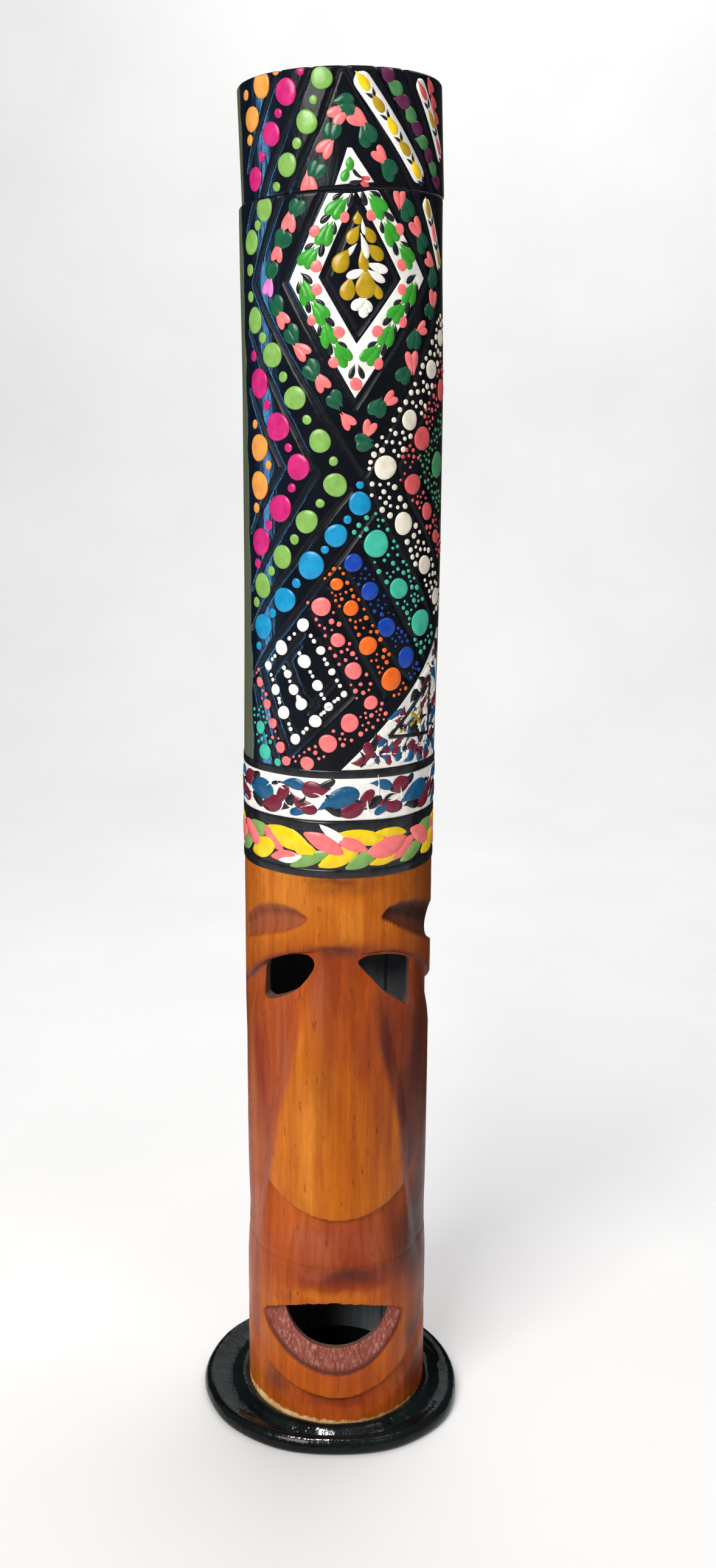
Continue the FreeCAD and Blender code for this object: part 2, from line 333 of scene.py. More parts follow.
cutBamboo = plainWood("cutBamboo", tone(92, 60, 52), tone(142, 98, 84), 1400, (1, 1, 0.2))
baseBlack = baseLacquer("baseBlack")
pegBamboo = plainWood("pegBamboo", tone(156, 124, 74), tone(206, 176, 118), 1500, (0.3, 0.3, 1))
seedShell = plainWood("seedShell", tone(58, 30, 16), tone(118, 70, 36), 500, (1, 1, 1), 0.4, 0.0002)
plywood = plainWood("plywood", tone(148, 112, 66), tone(198, 162, 108), 500, (1, 0.05, 1))
nailMetal = nailSteel("nailMetal")
print("materials made:", len(bpy.data.materials))

# mesh helpers


def newPiece(name, verts, faces, materials, body, slot, *nodes, faceMaterial=None, smooth=True):
    mesh = bpy.data.meshes.new(name)
    mesh.from_pydata(np.asarray(verts).tolist(), [], [list(map(int, f)) for f in faces])
    for material in materials:
        mesh.materials.append(material)
    if faceMaterial is not None:
        mesh.polygons.foreach_set("material_index", np.asarray(faceMaterial, np.int32))
    mesh.polygons.foreach_set("use_smooth", np.full(len(mesh.polygons), smooth))
    mesh.update()
    piece = bpy.data.objects.new(name, mesh)
    bpy.context.scene.collection.objects.link(piece)
    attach(piece, body)
    if nodes:
        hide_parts(*nodes)
    return piece


def loopFaces(rows, columns):
    # quads of a closed section (rows) swept round a closed ring (columns)
    i, j = np.meshgrid(np.arange(rows), np.arange(columns), indexing="ij")
    nextI, nextJ = (i + 1) % rows, (j + 1) % columns
    quads = [i * columns + j, i * columns + nextJ, nextI * columns + nextJ, nextI * columns + j]
    return np.stack(quads, -1).reshape(-1, 4)


def gridFaces(rows, columns, start=0):
    i, j = np.meshgrid(np.arange(rows - 1), np.arange(columns - 1), indexing="ij")
    a = start + i * columns + j
    return np.stack([a, a + 1, a + columns + 1, a + columns], -1).reshape(-1, 4).tolist()


def frontColumns(left, right, fine, coarse):
    # angles round the tube: close together across the carved front
    front = np.arange(left, right, fine / tube["degree"])
    back = np.arange(right, left + 360.0 - coarse / tube["degree"] * 0.5, coarse / tube["degree"])
    return np.concatenate([front, back])


def sharpenEdges(mesh, limit=38.0):
    bm = bmesh.new()
    bm.from_mesh(mesh)
    for edge in bm.edges:
        if len(edge.link_faces) == 2 and edge.calc_face_angle(0.0) > math.radians(limit):
            edge.smooth = False
    bm.to_mesh(mesh)
    bm.free()


def carve(piece, cutters):
    for cutter in cutters:
        cutting = piece.modifiers.new(cutter.name, "BOOLEAN")
        cutting.operation = "DIFFERENCE"
        cutting.solver = "EXACT"
        cutting.object = cutter
        cutting.material_mode = "INDEX"
    bpy.context.view_layer.update()
    carved = bpy.data.meshes.new_from_object(piece.evaluated_get(bpy.context.evaluated_depsgraph_get()))
    piece.modifiers.clear()
    piece.data = carved
    for cutter in cutters:
        bpy.data.objects.remove(cutter)


# the carved and painted chamber

grooves = {
    "depth": 1.15,
    "halfWidth": 1.55,
    "waver": 0.35,
    "cap": [
        ((-32, 612), (-64, 575)),
        ((-14, 612), (-29, 590), (-41.5, 575), (-52, 562)),
        ((-1, 608), (-11, 590), (-23, 575), (-33, 563)),
        ((-1, 608), (3, 610), (24, 585), (35, 573), (44, 562)),
        ((19, 612), (38, 590), (58, 566)),
        ((36, 612), (50, 594), (70, 570)),
    ],
    "stick": [
        ((-31, 567), (-57, 531), (-33, 505), (-16, 486), (10, 455)),
        ((42, 566), (58, 547), (71, 530), (10, 452)),
        ((57, 568), (77, 540)),
        ((-9, 566), (-32, 531), (6.5, 482.5), (54, 533.5), (21.5, 567)),
        ((8, 558), (-8.5, 532.5), (7.5, 511), (30, 532.5), (8, 558)),
        ((-50, 567), (-63, 552)),
        ((-63, 513), (-43, 492), (-28, 474.5), (-14, 456), (-31, 436.5), (-47, 421), (-63, 406)),
        ((-63, 489), (-35, 458), (-63, 431)),
        ((4, 449), (-12, 434), (-26, 420), (-43, 406), (-63, 389)),
        ((18, 441), (2, 425), (-14, 409), (-30, 394), (-61, 369)),
        ((12, 454), (27, 430), (44, 412), (63, 393)),
        ((78, 505), (66, 494), (45, 474), (32, 459), (40, 444), (55, 430), (79, 408)),
        ((79, 488), (50, 457), (79, 434)),
        ((11, 427), (24, 409), (38, 393), (55, 377)),
        ((1, 417), (10, 404), (20, 389), (36, 372), (44, 368)),
        ((-8, 408), (1, 394), (11, 380), (25, 363)),
        ((-17, 399), (-7, 385), (7, 364), (-30, 336), (-51, 372)),
        ((-13, 387), (-2, 371), (-8, 365), (-13, 361)),
        ((-22, 389), (-36, 377), (-44, 370), (-38, 361), (-30, 349), (-26, 346)),
        ((-24, 384), (-31, 378), (-22, 363), (-17, 359)),
        ((-29, 371), (-18, 356), (-13, 359)),
        ((-59, 364), (-37, 331)),
        ((27, 331), (33, 341), (63, 367)),
    ],
}


def distanceTo(path, angle, height):
    # millimetres along the wall to the nearest point of a broken line
    x, best = angle * tube["degree"], np.full(np.broadcast(angle, height).shape, 1e9)
    for (a, b), (c, d) in zip(path, path[1:]):
        ax, cx = a * tube["degree"], c * tube["degree"]
        length = math.hypot(cx - ax, d - b)
        along = np.clip(((x - ax) * (cx - ax) + (height - b) * (d - b)) / length**2, 0, 1)
        best = np.minimum(best, np.hypot(x - ax - along * (cx - ax), height - b - along * (d - b)))
    return best


def grooveDepth(paths, angle, height):
    waver = grooves["waver"] * ripple(angle, height, 1.0)
    deep = np.zeros(np.broadcast(angle, height).shape)
    for k, path in enumerate(paths):
        half = grooves["halfWidth"] * (1 + 0.12 * math.sin(2.1 * k))
        gap = distanceTo(path, angle, height) + waver * 0.5
        cutIn = np.clip(1 - gap / half, 0, 1)
        deep = np.maximum(deep, grooves["depth"] * (cutIn**1.15) * (1 + 0.15 * ripple(height, angle, k)))
    return deep


chamber = {"bottom": 284.5, "rowStep": 0.62, "front": 0.62, "back": 2.6, "left": -66.0, "right": 81.0}
crack = {"angle": 140.0, "half": 1.5, "deep": 3.5}  # drying crack, open to the inside


def shellWall(columns, bottom, top, rowStep, depthAt, part, edge=0.5):
    # a closed wall: carved outside, straight bore, small eased edges
    rows = int(np.mean(top - bottom) / rowStep)
    share = np.linspace(0, 1, rows)[:, None]
    heights = bottom[None, :] + share * (top - bottom)[None, :]
    angles = np.broadcast_to(columns[None, :], heights.shape)
    deep = depthAt(angles, heights)
    fromEnd = np.minimum(heights - bottom[None, :], top[None, :] - heights)
    deep = deep + edge * (1 - smoothStep(0.0, 1.0, fromEnd)) ** 2
    outer = onWall(angles, heights, -deep, part)
    innerShare = np.linspace(1, 0, 26)[:, None]
    innerHeights = bottom[None, :] + innerShare * (top - bottom)[None, :]
    innerAngles = np.broadcast_to(columns[None, :], innerHeights.shape)
    bore = np.full(innerHeights.shape, tube["bore"])
    if part == "stick":
        bore = bore + crack["deep"] * (np.abs(innerAngles - crack["angle"]) < crack["half"] * 0.7)
        bore = bore + 0.25 * ripple(innerAngles * 0.4, innerHeights * 0.3, 4) * 0.5
    turn = np.radians(innerAngles)
    inner = np.stack([bore * np.sin(turn), -bore * np.cos(turn), innerHeights], -1)
    verts = np.concatenate([outer, inner]).reshape(-1, 3) * mm
    count = rows + len(innerShare)
    faces = loopFaces(count, len(columns))
    rowOf = np.repeat(np.arange(count), len(columns))
    return verts, faces, (rowOf >= rows - 1).astype(int), deep


def vertexPlaces(mesh):
    # every vertex in millimetres, with its angle round the tube
    co = np.zeros(len(mesh.vertices) * 3)
    mesh.vertices.foreach_get("co", co)
    co = co.reshape(-1, 3) / mm
    return co, np.degrees(np.arctan2(co[:, 0], -co[:, 1]))


def markGrooves(piece, deep):
    # 1 inside the grooves, 0 on the open wall: grooves hold no gloss
    sunk = np.zeros(len(piece.data.vertices))
    sunk[: deep.size] = smoothStep(0.1, 0.5, deep.ravel())
    piece.data.attributes.new("sunk", "FLOAT", "POINT").data.foreach_set("value", sunk)


def withCrack(columns):
    middle, half = crack["angle"], crack["half"]
    extra = np.array([middle - half, middle - half * 0.5, middle, middle + half * 0.5, middle + half])
    kept = columns[np.abs(columns - middle) > half * 1.6]
    return np.sort(np.concatenate([kept, extra]))


columns = withCrack(frontColumns(chamber["left"], chamber["right"], chamber["front"], chamber["back"]))
chamberTop = seamHeight(columns)
chamberBottom = np.full(len(columns), chamber["bottom"])


def chamberDepth(angle, height):
    within = smoothStep(-66, -63, angle) * (1 - smoothStep(79, 81, angle))
    carved = grooveDepth(grooves["stick"], angle, height) * within
    return carved * smoothStep(330.5, 331.5, height)


verts, faces, inside, deep = shellWall(
    columns, chamberBottom, chamberTop, chamber["rowStep"], chamberDepth, "stick"
)
chamberWall = newPiece(
    "chamberWall",
    verts,
    faces,
    [groundBlack, insideBamboo],
    "stick",
    "painted_bamboo",
    "culm",
    faceMaterial=inside,
)
markGrooves(chamberWall, deep)
sharpenEdges(chamberWall.data, 50)
print("chamber wall:", len(faces), "faces")

capColumns = frontColumns(-74.0, 76.0, 0.62, 2.6)


def capDepth(angle, height):
    within = smoothStep(-70, -66, angle) * (1 - smoothStep(71, 74, angle))
    return grooveDepth(grooves["cap"], angle, height) * within


verts, faces, inside, deep = shellWall(
    capColumns,
    seamHeight(capColumns) + tube["seamGap"],
    rimHeight(capColumns),
    chamber["rowStep"],
    capDepth,
    "cap",
)
capWall = newPiece(
    "capWall", verts, faces, [groundBlack, insideBamboo], "cap", "painted_bamboo", "cap_ring",
    faceMaterial=inside
)
markGrooves(capWall, deep)
sharpenEdges(capWall.data, 50)
print("cap wall:", len(faces), "faces")

# the carved mask

mask = {
    "top": 284.5,
    "front": 0.8,
    "back": 3.0,
    "left": -92.0,
    "right": 104.0,
    "rowStep": 0.8,
    "socket": 2.9,
    "cheek": 2.5,
    "underNose": 3.2,
    "lip": 3.6,
    "chin": 1.9,
}
browLine = easedLine(
    [(-90, 216), (-76, 225), (-59, 234), (-47, 240), (-37.5, 243.3), (-28, 246), (-15, 248.2),
        (-5, 249.4), (5, 248.8),
     (15, 247.4), (21, 247.6), (35.5, 246.5), (48, 242.8), (58, 239), (75, 230), (86, 225), (100, 218)],
     2.5
)
leftNose = easedLine([(100, -58), (128, -48), (140, -45.5), (159, -40.5), (189, -30), (221, -20.5),
    (236, -15), (248, -11)], 4.0)
rightNose = easedLine([(100, 54), (129, 46), (157, 43), (183, 33.5), (214, 21), (239, 13), (248, 11)],
    4.0)
mouthTop = easedLine([(-54, 58), (-50, 61), (-34, 66.8), (-18, 71), (-1.3, 72.8), (16, 71), (33, 67),
    (42, 63.5), (48, 61)], 2.0)
lipLine = easedLine(
    [(-54, 58), (-52, 54), (-46, 49), (-39, 45), (-31.6, 41.2), (-24, 38.2), (-16, 35.8), (-8, 34.2),
        (0.8, 33.5), (9, 34.2),
     (18, 36.4), (26, 40), (33.5, 44.8), (39, 49), (43.8, 54), (48, 61)], 1.5
)
chinLine = easedLine(
    [(-100, 66), (-82, 53), (-66, 42.5), (-51, 32.5), (-32, 26), (-16, 22.8), (-2, 21.2), (12, 21.9),
        (29, 25.5), (44, 31),
     (54, 37.7), (70, 47), (100, 60)], 4.0
)
leftHollow = {
    "top": easedLine([(-92, 246), (-80, 252), (-71, 257.5), (-58, 264), (-46.6, 267.5), (-34, 268.6),
        (-25, 267), (-18, 263.5)], 1.5),
    "low": easedLine([(-92, 240), (-71.6, 244.8), (-58, 248.8), (-46.8, 251.6), (-34, 254.8),
        (-23.5, 258.8), (-18, 262.5)], 1.5),
    "from": (-88, -68),
    "to": (-21, -17.5),
    "deep": 2.3,
}
rightHollow = {
    "top": easedLine([(26, 263.5), (32, 267.8), (42, 269.3), (55, 268), (72, 263.7), (86, 259.5),
        (104, 255)], 1.5),
    "low": easedLine([(26, 262.8), (34, 259.7), (46, 253.8), (64.6, 246.6), (80, 241.5), (104, 237)],
        1.5),
    "from": (26, 30),
    "to": (100, 114),
    "deep": 2.9,
}


def hollowDepth(hollow, angle, height):
    low, top = hollow["low"](angle), hollow["top"](angle)
    share = np.clip((height - low) / np.maximum(top - low, 0.5), 0, 1)
    scoop = np.sin(np.pi * share**0.62) ** 0.8
    ends = smoothStep(*hollow["from"], angle) * (1 - smoothStep(*hollow["to"], angle))
    return hollow["deep"] * scoop * ends


def noseTip(angle):
    return 115.6 + 12.6 * ((angle - 1) / 47.0) ** 2


def outsideNose(angle, height):
    # millimetres from the edge of the nose towards the ear
    return np.where(angle < 0, leftNose(height) - angle, angle - rightNose(height)) * tube["degree"]


def mouthEnds(angle):
    return smoothStep(-54.5, -52.5, angle) * (1 - smoothStep(46, 48.5, angle))


def maskDepth(angle, height):
    side = np.abs(angle)
    under = browLine(angle) - height
    crisp = smoothStep(9, 20, side)
    # sockets: a clean step under the brow, soft over the bridge of the nose
    step = crisp * smoothStep(-0.2, 1.3, under) + (1 - crisp) * smoothStep(-7, 5, under)
    fade = np.where(angle < 0, 1 - smoothStep(66, 84, side), 1 - smoothStep(94, 106, side))
    socket = mask["socket"] * step * (1 - 0.6 * smoothStep(5, 20, under)) * (1 - smoothStep(14, 32,
        under)) * fade
    bridge = 0.6 * mask["socket"] * step * (1 - smoothStep(2, 40, under))
    socket = crisp * socket + (1 - crisp) * bridge
    # cheeks: a bevel beside the nose that rises again towards the ear
    out = outsideNose(angle, height)
    bevel = np.clip((np.sqrt(out**2 + 3.0) + out) / 17.0, 0, 1) * (1 - 0.85 * smoothStep(11, 34, out))
    bevel = bevel * smoothStep(2, 30, under) * smoothStep(74, 104, height)
    tipGap = noseTip(angle) - height
    steep = smoothStep(0, 30, 30 - np.abs(height - 126))
    cheek = mask["cheek"] * (bevel + 0.25 * steep * smoothStep(-0.5, 1.5,
        out) * (1 - smoothStep(6, 24, out)))
    lipSide = 1 - smoothStep(40, 56, side)
    philtrum = mask["underNose"] * smoothStep(-0.3, 0.9,
        tipGap) * (1 - smoothStep(2, 38, tipGap)) * lipSide
    rounding = 0.5 * smoothStep(-7, 0, tipGap) * (tipGap < 0.3) * lipSide
    deep = np.maximum(np.maximum(socket, cheek), np.maximum(philtrum, rounding))
    # mouth: a rough lip that runs down to the opening
    inMouth = np.minimum(mouthTop(angle) - height, height - lipLine(angle))
    ends = mouthEnds(angle)
    lip = (0.9 + mask["lip"] * smoothStep(0, 14, height - lipLine(angle))) * smoothStep(-0.2, 0.9,
        inMouth) * ends
    gouges = 0.3 * ripple(angle * 3.4, height * 1.2,
        7) + 0.2 * np.sin(angle * 2.6 + 1.1 * np.sin(0.7 * height))
    deep = np.maximum(deep, lip + gouges * smoothStep(0.5, 3, inMouth) * ends)
    # chin line with the sunk band below it
    belowChin = chinLine(angle) - height
    chin = mask["chin"] * smoothStep(-0.2, 1.0, belowChin) * (1 - smoothStep(2.5, 13, belowChin))
    deep = np.maximum(deep, chin * (1 - smoothStep(70, 96, side)))
    for hollow in (leftHollow, rightHollow):
        deep = np.maximum(deep, hollowDepth(hollow, angle, height))
    ring = 0.25 * np.exp(-(((height - 91.5 + 0.8 * np.sin(np.radians(3 * angle))) / 1.2) ** 2))
    foot = 0.5 * (1 - smoothStep(0, 2.0, height - tube["foot"] + 0.5 * ripple(angle * 3, height, 5)))
    return np.maximum(deep, foot) + ring + 0.05 * ripple(angle, height * 0.4, 3)


def closedCurve(points, each=10):
    # smooth closed outline through a few points
    points = [np.array(p, float) for p in points]
    count, curve = len(points), []
    for k in range(count):
        p0, p1, p2, p3 = (points[(k + n) % count] for n in (-1, 0, 1, 2))
        for t in np.linspace(0, 1, each, endpoint=False):
            second = 2 * p0 - 5 * p1 + 4 * p2 - p3
            third = 3 * p1 - p0 - 3 * p2 + p3
            curve.append(0.5 * (2 * p1 + (p2 - p0) * t + second * t**2 + third * t**3))
    return curve


holes = {
    "leftEye": (-24, [(-51.5, 224), (-50.5, 236), (-39.6, 241.8), (-30, 244.6), (-19, 245),
        (-15.2, 240.5), (-21, 232.6),
                      (-28.5, 227), (-43, 221.2), (-50, 221)]),
    "rightEye": (14, [(12.8, 242), (16, 244.4), (22, 245), (34, 244), (47, 240.4), (50.2, 236.5),
        (50.6, 228), (49.6, 219.6),
                      (46.8, 217.4), (40, 221), (30, 226.8), (21, 234.4)]),
    "mouth": (-2, [(-34, 66.2), (-20, 70), (-1.3, 72.2), (16, 70.2), (33, 66.2), (28.5, 54.8), (14, 48),
        (-2, 46),
                   (-18, 48.6), (-29.5, 56)]),
}


def holeCutter(name, direction, outline):
    # a straight-sided cutter along one direction, through one wall only
    along = math.radians(direction)
    outward = np.array([math.sin(along), -math.cos(along), 0])
    across = np.array([math.cos(along), math.sin(along), 0])
    rings = []
    for reach in (16.0, 60.0):
        ring = []
        for angle, height in closedCurve(outline):
            side = wallRadius(height) * math.sin(math.radians(angle - direction))
            ring.append((outward * reach + across * side + np.array([0, 0, height])) * mm)
        rings.append(ring)
    count = len(rings[0])
    verts = rings[0] + rings[1]
    faces = [[k, (k + 1) % count, count + (k + 1) % count, count + k] for k in range(count)]
    faces += [list(range(count))[::-1], [count + k for k in range(count)]]
    mesh = bpy.data.meshes.new(name)
    mesh.from_pydata([tuple(v) for v in verts], [], faces)
    bm = bmesh.new()
    bm.from_mesh(mesh)
    bmesh.ops.recalc_face_normals(bm, faces=bm.faces)
    bm.to_mesh(mesh)
    bm.free()
    for material in (maskStainAndShade, insideBamboo, cutBamboo):
        mesh.materials.append(material)
    mesh.polygons.foreach_set("material_index", np.full(len(mesh.polygons), 2, np.int32))
    cutter = bpy.data.objects.new(name, mesh)
    bpy.context.scene.collection.objects.link(cutter)
    return cutter


maskColumns = withCrack(frontColumns(mask["left"], mask["right"], mask["front"], mask["back"]))
verts, faces, inside, _ = shellWall(
    maskColumns,
    np.full(len(maskColumns), tube["foot"]),
    np.full(len(maskColumns), mask["top"]),
    mask["rowStep"],
    maskDepth,
    "stick",
    edge=0.0,
)
maskWall = newPiece(
    "maskWall",
    verts,
    faces,
    [maskStainAndShade, insideBamboo, cutBamboo],
    "stick",
    "painted_bamboo",
    "culm",
    faceMaterial=inside,
)
carve(maskWall, [holeCutter(name, direction, outline) for name, (direction, outline) in holes.items()])
print("mask wall:", len(maskWall.data.polygons), "faces")

woodTones = {
    "gold": tone(192, 104, 22),
    "honey": tone(214, 134, 46),
    "deepGold": tone(176, 88, 8),
    "orange": tone(172, 74, 22),
    "red": tone(134, 46, 18),
    "rose": tone(168, 84, 54),
    "maroon": tone(70, 26, 20),
    "plum": tone(88, 40, 36),
    "shadow": tone(56, 26, 24),
    "lip": tone(140, 74, 62),
    "cream": tone(244, 206, 146),
    "brown": tone(100, 46, 18),
    "shadedHollow": tone(88, 46, 36),
    "clay": tone(150, 76, 46),
    "hollowShade": tone(40, 18, 16),
}
# washes of stain, with the shadow washes on the right as painted shade: tone, strength, angle and its
# spread, height and its spread
faceWashes = [
    ("honey", 0.55, -30, 22, 275, 12), ("honey", 0.7, -18, 9, 150, 34), ("deepGold", 0.9, 8, 16, 150, 36),
    ("gold", 0.8, 28, 10, 140, 18), ("honey", 0.4, 6, 10, 262, 9), ("brown", 0.7, 0, 15, 281, 1.8),
    ("brown", 0.4, 6, 24, 278.5, 3.4),
    ("red", 0.75, 2, 19, 226, 16), ("orange", 0.6, 0, 14, 206, 16), ("plum", 0.8, -2, 20, 247, 4.0),
    ("red", 0.7, 2, 22, 241, 8),
    ("red", 0.8, 17, 8, 200, 26), ("red", 0.55, 28, 8, 166, 34), ("rose", 0.75, -14, 8, 233, 11),
    ("plum", 0.7, 15, 8, 247, 4), ("brown", 0.35, -6, 8, 190, 30), ("rose", 0.55, -12, 5, 222, 14),
]
cheekWashes = [
    ("rose", 1.0, -35, 8, 190, 36), ("rose", 0.95, -49, 8, 140, 44), ("rose", 0.5, -66, 9, 190, 40),
    ("red", 0.95, -58, 8, 182, 32), ("gold", 0.3, -70, 6, 150, 50), ("brown", 0.5, -84, 14, 180, 90),
    ("orange", 0.7, -30, 9, 214, 12), ("plum", 0.95, 33, 9, 200, 26), ("plum", 0.95, 45, 8, 162, 28),
    ("red", 0.7, 44, 8, 208, 14), ("maroon", 0.95, 62, 15, 190, 44), ("shadow", 0.7, 78, 14, 160, 70),
    ("maroon", 0.85, 58, 11, 135, 24), ("red", 0.6, 36, 9, 222, 8), ("brown", 0.6, 74, 10, 160, 60),
    ("orange", 0.5, -70, 14, 120, 16),
]
lowWashes = [
    ("red", 0.9, 4, 24, 100, 13), ("orange", 0.8, -44, 8, 92, 18), ("rose", 0.95, -16, 18, 101, 10),
    ("rose", 0.7, 20, 12, 102, 8), ("red", 0.6, -62, 8, 84, 20),
    ("maroon", 0.95, 58, 27, 98, 26), ("shadow", 0.6, 66, 16, 96, 26), ("plum", 0.95, 6, 30, 86, 4.6),
    ("maroon", 0.5, 10, 22, 83, 3), ("rose", 0.5, -14, 9, 87, 3), ("red", 0.8, 4, 30, 80.5, 3.5),
    ("gold", 0.8, -8, 34, 75, 3.0),
    ("orange", 0.7, 46, 7, 66, 12), ("rose", 0.35, 22, 6, 96, 6),
]
chinWashes = [
    ("orange", 0.9, -4, 44, 30, 9), ("deepGold", 0.6, -12, 16, 28, 6), ("maroon", 0.8, 62, 12, 40, 16),
    ("red", 0.6, -64, 8, 50, 16),
]
footWashes = [
    ("red", 0.85, 2, 40, 18, 6), ("plum", 0.7, -44, 12, 24, 7), ("gold", 0.7, -66, 12, 16, 8),
    ("orange", 0.7, 0, 26, 13.5, 2.2),
    ("maroon", 0.7, 60, 16, 22, 12), ("brown", 0.5, -14, 10, 21, 2),
]


def layOn(colour, name, share):
    return colour + share[..., None] * (np.array(woodTones[name][:3]) - colour)


def washOver(colour, washes, angle, height, region):
    for k, (name, strength, a, spread, h, rise) in enumerate(washes):
        x = (angle - a + 2.2 * ripple(angle * 0.8, height * 0.25, k)) / spread
        y = (height - h + 2.0 * ripple(height * 0.4, angle * 0.5, k + 3)) / rise
        share = np.exp(-np.abs(x) ** 2.6 - np.abs(y) ** 2.6)
        colour = layOn(colour, name, strength * share * region)
    return colour


def cutShade(gap, width=0.9):
    return np.exp(-(((gap - 0.6) / width) ** 2))


def stainAndShadeAt(angle, height):
    side = np.abs(angle)
    whole = np.ones(len(angle))
    under = browLine(angle) - height
    out = outsideNose(angle, height)
    tipGap = noseTip(angle) - height
    chinGap = height - chinLine(angle)
    colour = np.tile(np.array(woodTones["gold"][:3]), (len(angle), 1))
    # the gold deepening from left to right and the brown towards both edges, strongest on the right, are
    # partly stain and partly painted shade on the side away from the light
    colour = layOn(colour, "deepGold",
        0.6 * smoothStep(-30, 30, angle + 8 * ripple(angle * 0.5, height * 0.2, 2)))
    colour = layOn(colour, "brown", 0.8 * smoothStep(34, 76, angle))
    colour = layOn(colour, "brown", 0.35 * smoothStep(44, 84, -angle))
    colour = washOver(colour, faceWashes, angle, height, whole)
    # the brow band darkens towards its lower edge
    band = smoothStep(-13, -1, under) * (under < 0.4) * smoothStep(8, 26, side)
    colour = layOn(colour, "red", 0.35 * band)
    colour = layOn(colour, "plum", 0.7 * smoothStep(-2.6, -0.2, under) * (under < 0.8))
    cheek = smoothStep(-3, 1, under) * smoothStep(-3.0, 2.4, out) * smoothStep(66, 84, height)
    colour = layOn(colour, "orange", 0.75 * cheek)
    colour = washOver(colour, cheekWashes, angle, height, cheek)
    below = smoothStep(0, 1.5, tipGap) * smoothStep(66, 74, height) * (1 - smoothStep(56, 70, side))
    colour = layOn(colour, "orange", 0.75 * below)
    lower = smoothStep(0, 1.5, tipGap) * smoothStep(60, 70, height)
    colour = washOver(colour, lowWashes, angle, height, lower)
    # the hollows get painted shade: plum over their upper half and shadow under their top edge; the right
    # hollow, away from the light, gets a darker base tone and a deeper shade over all but its lowest part
    for hollow in (leftHollow, rightHollow):
        sunk = np.clip(hollowDepth(hollow, angle, height) / hollow["deep"] * 1.6, 0, 1)
        share = (height - hollow["low"](angle)) / np.maximum(hollow["top"](angle) - hollow["low"](angle),
            0.5)
        colour = layOn(colour, "clay" if hollow is leftHollow else "shadedHollow", 0.9 * sunk)
        colour = layOn(colour, "plum", 0.85 * sunk * smoothStep(0.45, 0.95, share))
        colour = layOn(colour, "shadow", 0.35 * sunk * smoothStep(0.8, 1.0, share))
        if hollow is rightHollow:
            colour = layOn(colour, "hollowShade", 0.85 * sunk * smoothStep(0.25, 0.55, share))
    chinFace = smoothStep(0, 1.5, chinGap) * (1 - smoothStep(62, 72, height))
    colour = layOn(colour, "orange", 0.35 * chinFace)
    colour = washOver(colour, chinWashes, angle, height, chinFace)
    footFace = smoothStep(0, 1.5, -chinGap)
    colour = layOn(colour, "orange", 0.5 * footFace)
    colour = washOver(colour, footWashes, angle, height, footFace)
    # lips, maroon along their lower edge as painted shade, then painted shade in every cut: under the
    # brow, under the nose tip, along the chin line, round the mouth and in the node ring
    inMouth = np.minimum(mouthTop(angle) - height, height - lipLine(angle))
    lips = smoothStep(-0.4, 0.8, inMouth) * mouthEnds(angle)
    colour = layOn(colour, "lip", lips)
    colour = layOn(colour, "maroon", 0.6 * lips * (1 - smoothStep(1.0, 4.5, height - lipLine(angle))))
    colour = layOn(colour, "shadow", 0.8 * cutShade(under) * smoothStep(12, 24, side))
    colour = layOn(colour, "shadow", 0.75 * cutShade(tipGap) * (1 - smoothStep(45, 54, side)))
    colour = layOn(colour, "maroon", 0.7 * cutShade(-chinGap, 1.2))
    colour = layOn(colour, "shadow", 0.5 * cutShade(inMouth, 0.7) * mouthEnds(angle))
    colour = layOn(colour, "shadow", 0.18 * cutShade(91.5 - height, 0.6))
    edge = tube["foot"] + 3.4 - 1.5 * smoothStep(-40, 30, angle) + 0.8 * ripple(angle * 2.1, height, 5)
    edge = edge + 1.6 * np.exp(-(((angle + 56) / 18) ** 2)) - 1.2 * smoothStep(50, 80, angle)
    colour = layOn(colour, "cream", 1 - smoothStep(edge - 0.4, edge + 0.5, height))
    return colour, lips * smoothStep(1.0, 4, inMouth)


def paintMask(piece):
    mesh = piece.data
    co, angle = vertexPlaces(mesh)
    colour, ragged = stainAndShadeAt(angle, co[:, 2])
    # the colour holds the stain and the painted shade of the cuts, hollows and right side
    stainAndShade = mesh.attributes.new("stainAndShade", "FLOAT_COLOR", "POINT")
    stainAndShade.data.foreach_set("color", np.concatenate([colour, np.ones((len(colour), 1))], 1).ravel())
    rough = mesh.attributes.new("ragged", "FLOAT", "POINT")
    rough.data.foreach_set("value", ragged)


paintMask(maskWall)
sharpenEdges(maskWall.data, 45)
print("mask stained")

# base

base = {
    "columns": 180,
    "reach": [58.0, 60.5, 62.5, 60.8, 60.0, 60.8, 62.0, 64.0, 66.3, 67.0, 65.0, 61.0],
    "top": tube["foot"],
    "nailReach": 40.55,
    "nailSink": 2.4,
}


